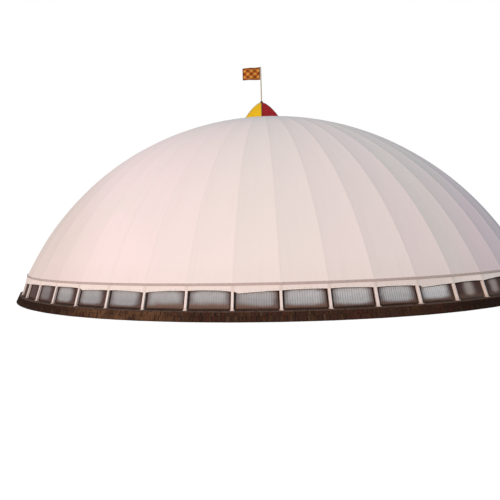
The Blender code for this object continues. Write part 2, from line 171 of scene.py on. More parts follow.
class DomeColours(bpy.types.PropertyGroup):
    """Colours of the dressed pieces that a user may change."""

    cloth: colour("Cloth", "Coated cloth, clean", (0.765, 0.735, 0.705))
    # This colour is also laid on as painted warm light on the -X side.
    cloth_pink: colour("Cloth, pink", "Coated cloth of a warmer roll", (0.815, 0.735, 0.735))
    # This colour is also laid on as painted cool shade on the +X side.
    cloth_lilac: colour("Cloth, lilac", "Coated cloth of a cooler roll", (0.815, 0.705, 0.730))
    # This colour is painted cool shade round the crown, where the cloth faces away from the low key light,
    # not soot.
    cloth_crown: colour("Cloth, crown", "Film of soot on the cloth round the crown", (0.560, 0.620, 0.700))
    # This colour is dust, and also tints the painted shade of the screens on the +X flank.
    cloth_dust: colour("Cloth, dust", "Dust that runs down the cloth", (0.580, 0.520, 0.460))
    hem: colour("Hem", "The free edge's band", (0.745, 0.700, 0.665))
    steel: colour("Steel", "Paint of the ribs and the posts", (0.745, 0.690, 0.660))
    rust: colour("Rust", "Rust and scuffs on the paint", (0.300, 0.170, 0.110))
    rail: colour("Rail", "Paint of the eave rail", (0.460, 0.390, 0.370))
    screen: colour("Screen", "Ribbed screen where it is clean", (0.388, 0.438, 0.462))
    # This colour is grime and also the painted shade of the recess beside the posts, under the hem and along
    # the corrugation.
    screen_grime_and_shade: colour("Screen, grime", "Dark grime towards the posts", (0.065, 0.038, 0.034))
    screen_dirt: colour("Screen, dirt", "Splashed earth along the screens' foot", (0.148, 0.094, 0.069))
    sill: colour("Sill", "Dark steel sill and jambs", (0.030, 0.015, 0.010))
    stone: colour("Stone", "Brown facing stone", (0.048, 0.023, 0.014))
    stone_red: colour("Stone, red", "Reddish facing stone", (0.070, 0.019, 0.013))
    stone_olive: colour("Stone, olive", "Mossy facing stone", (0.060, 0.040, 0.013))
    stone_pale: colour("Stone, pale", "Dusty facing stone", (0.088, 0.056, 0.038))
    # This colour is painted sunlight on the stones of the -X side, not dry earth.
    stone_sunlit: colour("Stone, dry", "Dry earth on the stones of the weather side", (0.110, 0.058, 0.029))
    mortar: colour("Mortar", "Mortar between the stones", (0.020, 0.011, 0.007))
    coping: colour("Coping", "Coping slabs", (0.085, 0.054, 0.041))
    concrete: colour("Concrete", "Floor slab", (0.420, 0.400, 0.380))
    cap_yellow: colour("Cap, yellow", "Yellow sides of the cap", (0.670, 0.437, 0.007))
    cap_red: colour("Cap, red", "Red sides of the cap", (0.415, 0.014, 0.018))
    cap_trim: colour("Cap trim", "Trim and collar of the cap", (0.045, 0.022, 0.018))
    pole: colour("Pole", "Weathered zinc of the flag pole", (0.390, 0.365, 0.260))
    flag: colour("Flag", "Ground of the flag", (0.380, 0.100, 0.014))
    flag_light: colour("Flag, light", "Light lozenges of the flag", (0.520, 0.290, 0.060))
    flag_dark: colour("Flag, dark", "Border and dark lozenges of the flag", (0.085, 0.020, 0.010))


def sizes():
    return bpy.context.scene.dome_sizes


def tones():
    return bpy.context.scene.dome_colours


# Node trees


class Value:
    """A node's output, which sums and products can be written with."""

    def __init__(self, graph, socket):
        self.graph = graph
        self.socket = socket

    def __add__(self, other):
        return self.graph.math("ADD", self, other)

    def __sub__(self, other):
        return self.graph.math("SUBTRACT", self, other)

    def __rsub__(self, other):
        return self.graph.math("SUBTRACT", other, self)

    def __mul__(self, other):
        return self.graph.math("MULTIPLY", self, other)

    def __truediv__(self, other):
        return self.graph.math("DIVIDE", self, other)

    def __abs__(self):
        return self.graph.math("ABSOLUTE", self)

    __radd__ = __add__
    __rmul__ = __mul__


def opaque(tint):
    """A plain colour with its alpha. A Value stays as it is."""
    return tint if isinstance(tint, Value) else (*tint, 1.0)


class Graph:
    """Lays out a shader or geometry tree. Its nodes take Values, plain numbers, colours and names."""

    def __init__(self, tree):
        self.tree = tree

    def put(self, socket, value):
        if isinstance(value, Value):
            self.tree.links.new(value.socket, socket)
        elif value is not None:
            socket.default_value = value

    def add(self, kind, *values, **settings):
        """A new node. Settings that start with a capital, such as Fill_Caps, are inputs of it."""
        node = self.tree.nodes.new(kind)
        named = {key: settings.pop(key) for key in list(settings) if key[0].isupper()}
        for key, value in settings.items():
            setattr(node, key, value)
        open_sockets = [s for s in node.inputs if s.enabled]
        for socket, value in zip(open_sockets, values):
            self.put(socket, value)
        for key, value in named.items():
            self.put(next(s for s in open_sockets if s.name == key.replace("_", " ")), value)
        return node

    def get(self, kind, *values, output=None, **settings):
        """The output of a new node: the first in use, or the first of a name."""
        node = self.add(kind, *values, **settings)
        return Value(self, next(s for s in node.outputs if s.enabled and output in (None, s.name)))

    def math(self, operation, *values):
        return self.get("ShaderNodeMath", *values, operation=operation)

    def least(self, first, second):
        return self.math("MINIMUM", first, second)

    def most(self, first, second):
        return self.math("MAXIMUM", first, second)

    def vector(self, operation, *values):
        return self.get("ShaderNodeVectorMath", *values, operation=operation)

    def xyz(self, x=0.0, y=0.0, z=0.0):
        return self.get("ShaderNodeCombineXYZ", x, y, z)

    def parts(self, vector):
        return [Value(self, s) for s in self.add("ShaderNodeSeparateXYZ", vector).outputs]

    # The rest is for materials.

    def attribute(self, name):
        return self.get("ShaderNodeAttribute", attribute_name=name, output="Fac")

    def place(self):
        return self.get("ShaderNodeTexCoord", output="Object")

    def flat(self):
        return self.get("ShaderNodeUVMap", uv_map="UVMap")

    def scaled(self, vector, *scale):
        return self.get("ShaderNodeMapping", vector, Scale=scale)

    def noise(self, vector, scale, detail=2.0, rough=0.5):
        return self.get("ShaderNodeTexNoise", vector, Scale=scale, Detail=detail, Roughness=rough)

    def cells(self, vector, scale):
        return self.get("ShaderNodeTexVoronoi", vector, Scale=scale, output="Distance")

    def waves(self, vector, scale, direction):
        return self.get("ShaderNodeTexWave", vector, Scale=scale, bands_direction=direction, output="Fac")

    def weave(self, flat, pitch):
        """Crossed threads."""
        threads = self.scaled(flat, pitch, pitch, 1.0)
        return self.waves(threads, 1.0, "X") * self.waves(threads, 1.0, "Y")

    def between(self, value, low, high):
        """0 below low, 1 above high, and smooth between them. Turned round where high is the lower."""
        ends = (low, high, 0.0, 1.0) if low < high else (high, low, 1.0, 0.0)
        return self.get("ShaderNodeMapRange", value, *ends, interpolation_type="SMOOTHSTEP")

    def coats(self, base, *layers):
        """A base colour under layers, each a share and a colour."""
        for share, tint in layers:
            base = self.get("ShaderNodeMix", share, opaque(base), opaque(tint), data_type="RGBA")
        return base

    def shade(self, tint, amount):
        """The colour made lighter or darker by a factor."""
        return self.vector("SCALE", tint, amount)

    def bumps(self, *layers):
        """Bumps laid over one another, each a height, its depth in metres and its strength."""
        normal = None
        for height, depth, strength in layers:
            under = {} if normal is None else {"Normal": normal}
            normal = self.get("ShaderNodeBump", Strength=strength, Distance=depth, Height=height, **under)
        return normal


def finish(name, lay, roughness=0.5, specular=0.3):
    """A material. lay(graph) gives its colour, and may give its roughness and its normal."""
    made = bpy.data.materials.new(name)
    made.use_nodes = True
    graph = Graph(made.node_tree)
    shader = made.node_tree.nodes["Principled BSDF"]
    shader.inputs["Roughness"].default_value = roughness
    shader.inputs["Metallic"].default_value = 0.0
    shader.inputs["Specular IOR Level"].default_value = specular
    for socket, value in lay(graph).items():
        graph.put(shader.inputs[socket], value)
    return made


def membrane_finish():
    """Coated polyester cloth: rolls of differing white, welded laps, streaks of dust, a fine weave."""
    tone, half_seam = tones(), sizes().seam / 2

    def lay(g):
        roll, seam, rise = g.attribute("roll"), g.attribute("seam"), g.attribute("rise")
        spot, flat = g.place(), g.flat()
        aside = g.parts(spot)[0]
        patches = g.noise(g.scaled(spot, 0.22, 0.22, 0.16), 1.0, 3.0)
        # Pink patches, faint everywhere and strong on the -X side, where the key light falls: there they are
        # painted warm light.
        painted_sunlit_side = g.between(aside, -3.5, -8.5) * g.between(aside, -19.0, -13.5)
        blush_and_sunlight = g.between(patches, 0.30, 0.60) * (painted_sunlit_side + 0.15)
        # Painted cool shade: the lower +X side, away from the key light, turns lilac.
        cooler = g.between(aside, 8.5, 12.5) * g.between(rise, 13.0, 4.0)
        streaks = g.noise(g.scaled(flat, 3.2, 0.10, 1.0), 1.0, 5.0, 0.62)
        smears = g.noise(g.scaled(flat, 0.9, 0.35, 1.0), 1.3, 4.0, 0.6)
        dust = g.between(streaks, 0.50, 0.78) * 0.09 + g.between(smears, 0.55, 0.85) * 0.07
        dust = dust + g.between(rise, 1.6, 0.0) * streaks * 0.22
        lap = g.between(seam, half_seam + 0.006, half_seam)
        lap_edge = g.between(abs(seam - half_seam), 0.012, 0.0)
        over_leg = g.between(seam, 0.16, 0.05)
        smeared = g.between(smears, 0.40, 0.75)
        band = g.coats(tone.hem, (over_leg * 0.45, tone.cloth_dust), (smeared * 0.14, tone.cloth_dust))
        # Painted light: the hem's band lighter towards +X, where it lies in shade.
        band = g.shade(band, g.between(aside, 8.0, 11.0) * 0.24 + 1.0)
        base = g.coats(
            tone.cloth,
            (g.between(roll, 0.30, 0.42) * 0.35, tone.cloth_pink),
            (g.between(roll, 0.64, 0.76) * 0.35, tone.cloth_lilac),
            (g.least(blush_and_sunlight, 1.0), tone.cloth_pink),
            (cooler, tone.cloth_lilac),
            # painted cool shade round the crown
            (g.between(rise, 14.5, 18.6) * 0.42, tone.cloth_crown),
            # Browner and darker towards -X, beyond 9 m.
            (g.between(aside, -9.0, -14.0) * 0.42, tone.cloth_dust),
            (dust, tone.cloth_dust),
            (lap * 0.22, tone.hem),
            (lap_edge * 0.22, tone.cloth_dust),
            (g.between(rise, 0.02, -0.02), band),
        )
        swell = g.noise(g.scaled(flat, 2.6, 0.8, 1.0), 1.6, 3.0)
        normal = g.bumps((g.weave(flat, 90.0), 0.0004, 0.25), (swell, 0.012, 0.35), (lap, 0.003, 0.6))
        return {"Base Color": base, "Roughness": dust * 0.5 + 0.64, "Normal": normal}

    return finish("coated_membrane", lay, 0.65)


def steel_finish(name, paint, wear=1.0, roughness=0.42, dust=0.16, specular=0.3):
    """Brushed-on paint over steel, with dust, small chips and a rusty foot."""
    tone = tones()

    def lay(g):
        spot = g.place()
        x, _, height = g.parts(spot)
        cloudy = g.noise(spot, 2.3, 4.0)
        chips = g.noise(spot, 38.0, 5.0, 0.65)
        runs = g.noise(g.scaled(spot, 26.0, 26.0, 1.6), 1.0, 4.0, 0.6)
        foot = g.between(height, PLATE_TOP + 0.22, PLATE_TOP)
        rust = g.between(chips, 0.62, 0.70) * (0.55 * wear) + foot * runs * (0.55 * wear)
        base = g.coats(
            paint,
            (g.between(cloudy, 0.35, 0.75) * dust, tone.cloth_dust),
            # Browner and darker towards +X.
            (g.between(x, 6.0, 12.0) * (0.75 * wear), tone.cloth_dust),
            (rust, tone.rust),
        )
        normal = g.bumps((g.noise(spot, 70.0, 2.0), 0.0008, 0.35), (chips, 0.0010, 0.25))
        return {"Base Color": base, "Roughness": rust * 0.5 + roughness, "Normal": normal}

    return finish(name, lay, roughness, specular)


def screen_finish():
    """Ribbed translucent sheet: pale in mid-bay, grimy towards the posts and splashed along its foot."""
    tone = tones()

    def lay(g):
        flat, spot = g.flat(), g.place()
        across, up, _ = g.parts(flat)
        x, y, height = g.parts(spot)
        drift = (g.noise(spot, 2.1, 3.0) - 0.5) * 0.24

        # The bay's number, counted from the front one towards +X and towards -X
        bay = g.math("FLOOR", g.math("ARCTAN2", x, abs(y)) / BAY_ANGLE)
        to_left = g.most(g.between(bay, -12.0, -9.0) * (-3.0 - bay), 0.0)
        # Painted shade on the +X flank, away from the key light: its bays get wider dark margins, less clear
        # sheet and a dusty tint.
        right_flank_shade = g.between(bay, 3.2, 3.9) * g.between(bay, 9.5, 6.5)

        # How clear of grime and painted shade a spot is: the further from the posts, the hem and the foot,
        # the clearer. The shade is that of the recess beside the posts and under the hem.
        left = g.between(bay, 0.5, 2.0) * 0.12 - 0.06 + right_flank_shade * 0.54
        right = g.between(bay, 1.5, 3.0) * 0.12 + 0.03 + right_flank_shade * 0.34 + to_left * 0.15
        from_post = g.least(across - left, GORE_WIDTH - across - right) + drift
        from_hem = EAVE_HEIGHT - HEM_DROP + 0.17 - height
        from_edge = g.least(from_hem, up + 0.05) + drift * 0.4
        beyond = g.most(1.0 - from_post * 1.3, 0.0)
        above = g.most(1.0 - from_edge * 3.2, 0.0)
        clear = g.between(g.math("SQRT", beyond * beyond + above * above), 1.0, 0.25)
        # clean is low on the bays some 55 to 75 degrees round towards -X, which are dark all over.
        clean = g.most(g.between(bay, -8.5, -5.5), g.between(bay, -9.3, -11.7))
        clear = clear * clean * (1.0 - right_flank_shade * 0.42)

        # The sheet itself, which differs from bay to bay at random, with painted light: lighter towards +X,
        # towards its top and at x 6.9 to 7.3 m. It is also darker at x 4.6 to 5.0 m.
        dull = g.between(x, 4.6, 5.0)
        painted_light_bay = g.between(x, 6.9, 7.3) * 0.29 + 1.0
        light = (g.attribute("bay") * 0.16 + 0.92) * (g.between(x, -4.5, 6.5) * 0.33 + 0.89)
        light = light * (g.between(up, 0.30, 0.70) * 0.22 + 0.93) * (painted_light_bay - dull * 0.10)
        # Painted shade: darker bands along the corrugation.
        ribs = g.waves(g.scaled(flat, 0.5 / sizes().corrugation, 1.0, 1.0), pi, "X")
        pale = g.coats(tone.screen, (g.noise(spot, 5.0, 4.0) * 0.35, tone.screen_dirt))
        pale = g.shade(pale, light)
        pale = g.coats(pale, (right_flank_shade * 0.6, tone.cloth_dust), (ribs * 0.12, tone.screen_grime_and_shade))

        # Earth that rain has splashed on it
        beside = g.between(abs(x + 2.0), 4.0, 6.5)
        stained = g.between(abs(x + 4.2), 3.3, 2.0)
        level = up + drift * 0.5 + beside * 0.10 - stained * 0.12 - dull * 0.08
        specks = g.noise(spot, 30.0, 4.0, 0.7)
        splash = g.between(level, 0.29, -0.02) * (specks * 0.9 + 0.58)
        splash = splash * (dull * 0.20 + 1.0 - beside * 0.45)
        base = g.coats(
            tone.screen_grime_and_shade,
            (clear, pale),
            (splash, tone.screen_dirt),
            # Darker towards its foot.
            (g.between(up, 0.14, 0.04) * 0.35, tone.screen_grime_and_shade),
        )
        return {"Base Color": base, "Normal": g.bumps((g.noise(spot, 60.0, 3.0), 0.0012, 0.3))}

    return finish("ribbed_screen", lay, 0.5, 0.15)


def stone_finish():
    """Split facing stones: each of its own brown, with dry earth, moss, reddish flecks and rough faces."""
    tone = tones()

    def lay(g):
        pick, spot = g.attribute("pick"), g.place()
        x, _, height = g.parts(spot)
        grain = g.noise(g.scaled(spot, 1.0, 1.0, 0.35), 17.0, 6.0, 0.68)
        moss = g.noise(spot, 1.5, 5.0, 0.66)
        red = g.noise(g.scaled(spot, 1.1, 1.3, 0.8), 1.1, 4.0, 0.6)
        flecks = g.between(g.cells(spot, 46.0), 0.16, 0.08)
        # Painted sunlight: the stones of the -X side, where the key light falls, take a lighter earthy tone.
        painted_sunlit_side = g.between(x, -4.2, -7.0) * g.between(x, -12.2, -10.6)
        base = g.coats(
            tone.stone,
            (g.between(pick, 0.60, 0.76) * 0.6, tone.stone_red),
            (g.between(pick, 0.80, 0.86) * 0.6, tone.stone_olive),
            (g.between(pick, 0.92, 0.97) * 0.6, tone.stone_pale),
            (g.between(grain, 0.35, 0.80), tone.mortar),
            (g.between(moss, 0.56, 0.72) * 0.6, tone.stone_olive),
            (g.between(red, 0.58, 0.72) * 0.5, tone.stone_red),
            (flecks * 0.5, tone.stone_pale),
            (g.between(height, 0.40, 0.62) * 0.35, tone.stone_pale),
            (painted_sunlit_side * g.between(moss, 0.32, 0.66), tone.stone_sunlit),
        )
        # Painted shade: the wall darker on its far -X and +X flanks.
        flank_shade = 1.0 - g.between(x, -10.8, -14.5) * 0.45 - g.between(x, 6.0, 11.0) * 0.55
        normal = g.bumps((grain, 0.012, 0.8), (g.noise(spot, 90.0, 3.0), 0.002, 0.5))
        return {"Base Color": g.shade(base, flank_shade), "Normal": normal}

    return finish("facing_stone", lay, 0.9, 0.1)


def rough_finish(name, paint, dark, scale, depth, roughness=0.9):
    """Mortar, coping and concrete: a mottled mineral surface with pores."""

    def lay(g):
        spot = g.place()
        cloudy = g.noise(spot, scale, 6.0, 0.62)
        pores = g.cells(spot, scale * 14)
        pitted = g.between(pores, 0.18, 0.06) * 0.45
        base = g.coats(paint, (g.between(cloudy, 0.35, 0.75), dark), (pitted, dark))
        normal = g.bumps((cloudy, depth, 0.7), (g.between(pores, 0.04, 0.2), depth / 3, 0.5))
        return {"Base Color": base, "Normal": normal}

    return finish(name, lay, roughness)


def cap_finish(name, paint):
    """Painted sheet metal with standing seams, dust towards the eave and a dull bloom along the hips."""
    tone = tones()

    def lay(g):
        spot, flat = g.place(), g.flat()
        cloudy = g.noise(spot, 3.0, 5.0, 0.6)
        runs = g.noise(g.scaled(flat, 14.0, 1.2, 1.0), 1.0, 4.0, 0.6)
        base = g.coats(
            paint,
            (g.between(cloudy, 0.42, 0.78) * 0.16, tone.cap_trim),
            (g.between(runs, 0.52, 0.78) * 0.18, tone.cloth_dust),
            # Darker towards the hips.
            (g.between(g.parts(flat)[0], 0.16, 0.0) * 0.30, tone.cap_trim),
        )
        dents, grain = g.noise(spot, 9.0, 3.0), g.noise(spot, 120.0, 2.0)
        return {"Base Color": base, "Normal": g.bumps((dents, 0.006, 0.35), (grain, 0.0008, 0.25))}

    return finish(name, lay, 0.6, 0.08)


def flag_finish():
    """Woven bunting with a lattice of lozenges inside a dark border. The pattern is the builder's own."""
    tone = tones()

    def lay(g):
        flat = g.flat()
        along, up, _ = g.parts(flat)
        diagonals = (along * 3.52 + up * 4.0, along * 3.52 - up * 4.0)
        one, two = (g.math("FLOORED_MODULO", g.math("FLOOR", d), 2.0) for d in diagonals)
        near_end = g.least(along, FLAG_LENGTH - along)
        near_edge = g.least(up, FLAG_DEPTH - up)
        border = g.between(g.least(near_end, near_edge), 0.085, 0.075)
        faded = g.between(g.noise(g.place(), 4.0, 3.0), 0.45, 0.8)
        base = g.coats(
            tone.flag,
            (one * two, tone.flag_light),
            ((1.0 - one) * (1.0 - two) * 0.75, tone.flag_dark),
            (border * 0.8, tone.flag_dark),
            (faded * 0.25, tone.flag_light),
        )
        return {"Base Color": base, "Normal": g.bumps((g.weave(flat, 200.0), 0.0005, 0.3))}

    return finish("flag_bunting", lay, 0.85, 0.05)


# Geometry Nodes


def socket_key(title):
    return title.lower().replace(" ", "_")


def new_tree(name, **inputs):
    """A Geometry Nodes tree with numbers and a finish as inputs: its graph, inputs and output node."""
    tree = bpy.data.node_groups.new(name, "GeometryNodeTree")
    tree.is_modifier = True

    def new_socket(title, kind, way="INPUT"):
        return tree.interface.new_socket(title, in_out=way, socket_type="NodeSocket" + kind)

    new_socket("Geometry", "Geometry")
    for key, default in inputs.items():
        kind = "Int" if isinstance(default, int) else "Float"
        new_socket(key.replace("_", " ").title(), kind).default_value = default
    new_socket("Finish", "Material")
    new_socket("Geometry", "Geometry", "OUTPUT")
    graph = Graph(tree)
    given = {socket_key(s.name): Value(graph, s) for s in graph.add("NodeGroupInput").outputs}
    return graph, given, graph.add("NodeGroupOutput")


def keep(g, given, out, geometry):
    """Ends a tree: instances made real, and their material set."""
    real = g.get("GeometryNodeRealizeInstances", geometry)
    g.put(out.inputs[0], g.get("GeometryNodeSetMaterial", Geometry=real, Material=given["finish"]))
    return g.tree


def points_at_origin(g, count):
    return g.get("GeometryNodeMeshLine", mode="OFFSET", Count=count, Offset=(0, 0, 0))


def stations(g, given):
    """Points a pitch apart along the edge that is given."""
    path = g.get("GeometryNodeMeshToCurve", Mesh=given["geometry"])
    return g.get("GeometryNodeResampleCurve", mode="LENGTH", Curve=path, Length=given["pitch"])


def circle_curve(g, sides, radius):
    return g.get("GeometryNodeCurvePrimitiveCircle", Resolution=sides, Radius=radius)


def copies_on(g, points, piece, turn, scale=None):
    return g.get("GeometryNodeInstanceOnPoints", Points=points, Instance=piece, Rotation=turn, Scale=scale)


def moved(g, geometry, **way):
    """Points moved to a Position or by an Offset."""
    return g.get("GeometryNodeSetPosition", Geometry=geometry, **way)


def chance(g, seed, low=0.0, high=1.0):
    return g.get("FunctionNodeRandomValue", data_type="FLOAT", Min=low, Max=high, Seed=seed)


def marked(g, copies, name, value):
    """Copies that each carry a number for their material."""
    kind = {"data_type": "FLOAT", "domain": "INSTANCE"}
    return g.get("GeometryNodeStoreNamedAttribute", Geometry=copies, Name=name, Value=value, **kind)


def facing(g, lean):
    """Turns an instance's own Z away from the dome's axis, leaning up by a share."""
    here = g.get("GeometryNodeInputPosition")
    outwards = g.vector("NORMALIZE", g.vector("MULTIPLY", here, (1, 1, 0)))
    aim = g.vector("NORMALIZE", g.vector("ADD", outwards, g.xyz(z=lean)))
    return g.get("FunctionNodeAlignRotationToVector", Vector=aim, axis="Z")


@cache
def repeat_round_tree():
    """Copies of one bay's piece, turned about the dome's axis, each with a number of its own from 0 to 1."""
    inputs = {"count": BAYS_PER_SECTOR, "first_angle": 0.0, "step_angle": BAY_ANGLE, "seed": 1}
    g, given, out = new_tree("repeat_round_axis", **inputs)
    spots = points_at_origin(g, given["count"])
    angle = given["first_angle"] + g.get("GeometryNodeInputIndex") * given["step_angle"]
    turn = g.get("FunctionNodeEulerToRotation", g.xyz(z=angle))
    copies = copies_on(g, spots, given["geometry"], turn)
    return keep(g, given, out, marked(g, copies, "bay", chance(g, given["seed"])))


@cache
def rope_tree():
    """A round rope or rolled trim along an edge."""
    g, given, out = new_tree("rope_along_edge", radius=0.012, sides=8)
    path = g.get("GeometryNodeMeshToCurve", Mesh=given["geometry"])
    ring = circle_curve(g, given["sides"], given["radius"])
    rope = g.get("GeometryNodeCurveToMesh", Curve=path, Profile_Curve=ring, Fill_Caps=True)
    return keep(g, given, out, g.get("GeometryNodeSetShadeSmooth", Geometry=rope, Shade_Smooth=True))


@cache
def bolts_tree():
    """Hexagon heads on washers, evenly along an edge."""
    g, given, out = new_tree("bolts_along_edge", pitch=0.40, width=0.04, lean=0.0)
    radius = given["width"] * 0.5

    def cylinder(sides, wide, deep):
        return g.get("GeometryNodeMeshCylinder", Vertices=sides, Radius=wide, Depth=deep)

    head = cylinder(6, radius, radius * 0.7)
    head = g.get("GeometryNodeTransform", Geometry=head, Translation=g.xyz(z=radius * 0.55))
    bolt = g.add("GeometryNodeJoinGeometry")
    for piece in (head, cylinder(12, radius * 1.45, radius * 0.4)):
        g.put(bolt.inputs[0], piece)
    bolt = Value(g, bolt.outputs[0])
    return keep(g, given, out, copies_on(g, stations(g, given), bolt, facing(g, given["lean"])))


@cache
def eyelets_tree():
    """Rolled rings, evenly along an edge."""
    g, given, out = new_tree("eyelets_along_edge", pitch=0.30, radius=0.020, wire=0.005, lean=0.0)
    ring = circle_curve(g, 12, given["radius"])
    wire = circle_curve(g, 5, given["wire"])
    eyelet = g.get("GeometryNodeCurveToMesh", Curve=ring, Profile_Curve=wire)
    return keep(g, given, out, copies_on(g, stations(g, given), eyelet, facing(g, given["lean"])))


@cache
def corrugate_tree():
    """Throws a flat sheet into waves across its width, which its UV map gives in metres."""
    g, given, out = new_tree("corrugate_sheet", pitch=0.125, depth=0.008)
    flat = g.get("GeometryNodeInputNamedAttribute", "UVMap", data_type="FLOAT_VECTOR")
    turn = g.parts(flat)[0] / given["pitch"] * (2 * pi)
    depth = g.math("SINE", turn) * given["depth"]
    push = g.vector("SCALE", g.get("GeometryNodeInputNormal"), depth)
    return keep(g, given, out, moved(g, given["geometry"], Offset=push))


@cache
def stones_tree():
    """A course of upright split stones round a battered wall, each of its own size, lean and roughness."""
    g, given, out = new_tree(
        "course_of_stones",
        count=150,
        first_angle=0.0,
        step_angle=0.01,
        foot_radius=PLINTH_FOOT,
        batter=BATTER,
        width=0.125,
        depth=0.11,
        low=0.0,
        high=0.3,
        roughness=0.03,
        seed=7,
    )
    foot, batter = given["foot_radius"], given["batter"]

    def differing(low, high, offset):
        return chance(g, given["seed"] + offset, low, high)

    step = g.get("GeometryNodeInputIndex") + 0.5 + differing(-0.28, 0.28, 1)
    angle = given["first_angle"] + step * given["step_angle"]
    tall = (given["high"] - given["low"]) * differing(0.78, 1.08, 2)
    middle = given["low"] + tall * 0.5
    centre = foot - middle * batter - given["depth"] * differing(0.46, 0.62, 3)
    spot = g.xyz(g.math("COSINE", angle) * centre, g.math("SINE", angle) * centre, middle)
    spots = moved(g, points_at_origin(g, given["count"]), Position=spot)
    lean = g.math("ARCTANGENT", batter) * -1.0
    turn = g.get("FunctionNodeEulerToRotation", g.xyz(differing(-0.07, 0.07, 4), lean, angle))
    along_face = tall * g.math("SQRT", batter * batter + 1.0)
    scale = g.xyz(given["depth"], given["width"] * differing(0.72, 1.22, 5), along_face)
    copies = copies_on(g, spots, given["geometry"], turn, scale)
    copies = marked(g, copies, "pick", differing(0.0, 1.0, 6))
    real = g.get("GeometryNodeRealizeInstances", copies)

    here = g.get("GeometryNodeInputPosition")
    rough = g.get("ShaderNodeTexNoise", here, Scale=9.0, Detail=3.0, output="Color")
    push = g.vector("SCALE", g.vector("SUBTRACT", rough, (0.5, 0.5, 0.5)), given["roughness"])
    pushed = moved(g, real, Offset=push)

    # Nothing sinks into the ground or stands proud of the wall's batter.
    x, y, z = g.parts(g.get("GeometryNodeInputPosition"))
    z = g.most(z, 0.001)
    pull = g.least((foot - z * batter) / g.math("SQRT", x * x + y * y), 1.0)
    return keep(g, given, out, moved(g, pushed, Position=g.xyz(x * pull, y * pull, z)))


def grow(obj, tree, **values):
    """Runs a tree on an object with values for its named inputs, and keeps the result as a plain mesh."""
    modifier = obj.modifiers.new(tree.name, "NODES")
    modifier.node_group = tree
    for item in tree.interface.items_tree:
        key = socket_key(item.name)
        if item.in_out == "INPUT" and key in values:
            modifier[item.identifier] = values[key]
    depsgraph = bpy.context.evaluated_depsgraph_get()
    grown = obj.evaluated_get(depsgraph)
    mesh = bpy.data.meshes.new_from_object(grown, preserve_all_data_layers=True, depsgraph=depsgraph)
    mesh.name = obj.name
    obj.modifiers.remove(modifier)
    obj.data = mesh
    return obj


# Mesh helpers


def new_piece(name, mesh, material=None):
    obj = bpy.data.objects.new(name, mesh)
    bpy.context.scene.collection.objects.link(obj)
    if material is not None:
        mesh.materials.clear()
        mesh.materials.append(material)
    return obj


def settle(obj, slot, *replaced):
    """Fixes a finished piece to the hall: what it rides on, its slot, and the CAD nodes it stands for."""
    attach(obj, "root")
    if replaced:
        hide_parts(*replaced)
    return obj


def thicken(obj, thickness, offset):
    wall = obj.modifiers.new("thickness", "SOLIDIFY")
    wall.thickness = thickness
    wall.offset = offset


def round_sector(obj, sector, material, seed=1):
    """Repeats one bay's piece through a sector."""
    start = rib_azimuth(sector * BAYS_PER_SECTOR)
    turn = {"count": BAYS_PER_SECTOR, "first_angle": start, "step_angle": BAY_ANGLE}
    return grow(obj, repeat_round_tree(), seed=seed, finish=material, **turn)


def mesh_from(shape, name, smooth_below=0.6):
    """A mesh of a finished bmesh: smooth, but sharp along its harder edges."""
    mesh = bpy.data.meshes.new(name)
    shape.to_mesh(mesh)
    shape.free()
    mesh.shade_smooth()
    mesh.set_sharp_from_angle(angle=smooth_below)
    return mesh


def sharpen_border(mesh):
    """Keeps a sheet's open edges crisp, so that its shading isn't drawn round them when it is thickened."""
    shape = bmesh.new()
    shape.from_mesh(mesh)
    for edge in shape.edges:
        if edge.is_boundary:
            edge.smooth = False
    shape.to_mesh(mesh)
    shape.free()


def run_along(name, points, tree, slot, **values):
    """A piece that a tree grows along a line of points."""
    mesh = bpy.data.meshes.new("line")
    mesh.from_pydata([tuple(p) for p in points], [(k, k + 1) for k in range(len(points) - 1)], [])
    return settle(grow(new_piece(name, mesh), tree, **values), slot)


def lofts(name, shells, smooth_below=0.6):
    """Closed shells in one mesh, each through its own rings of points, with all faces outwards."""
    shape = bmesh.new()
    for rings in shells:
        verts = [[shape.verts.new(point) for point in ring] for ring in rings]
        for here, there in zip(verts, verts[1:]):
            for j in range(len(here)):
                k = (j + 1) % len(here)
                shape.faces.new((here[j], here[k], there[k], there[j]))
        for end in (verts[0], verts[-1]):
            shape.faces.new(end)
    bmesh.ops.recalc_face_normals(shape, faces=shape.faces)
    return mesh_from(shape, name, smooth_below)


def lofted(name, rings, material, slot, *replaced, smooth_below=0.6):
    return settle(new_piece(name, lofts(name, [rings], smooth_below), material), slot, *replaced)


def grid_mesh(name, grid, flat):
    """A sheet through columns of points. flat(column, side, row) gives a face corner's place in metres."""
    rows = len(grid[0])
    cells = [(i, j) for i in range(len(grid) - 1) for j in range(rows - 1)]
    corners = ((0, 0), (1, 0), (1, 1), (0, 1))
    points = [tuple(point) for column in grid for point in column]
    faces = [[(i + side) * rows + j + up for side, up in corners] for i, j in cells]
    mesh = bpy.data.meshes.new(name)
    mesh.from_pydata(points, [], faces)
    layer = mesh.uv_layers.new(name="UVMap")
    for face, (i, j) in zip(mesh.polygons, cells):
        for loop, (side, up) in zip(face.loop_indices, corners):
            layer.data[loop].uv = flat(i, side, j + up)
    mesh.shade_smooth()
    sharpen_border(mesh)
    return mesh


def circle(radius, z, sides, x=0.0, y=0.0):
    turns = [2 * pi * k / sides for k in range(sides)]
    return [Vector((x + radius * cos(turn), y + radius * sin(turn), z)) for turn in turns]


def octagon(x0, x1, y0, y1, c):
    """A rectangle with chamfered corners."""
    right = [(x1, y0 + c), (x1, y1 - c), (x1 - c, y1)]
    return right + [(x0 + c, y1), (x0, y1 - c), (x0, y0 + c), (x0 + c, y0), (x1 - c, y0)]


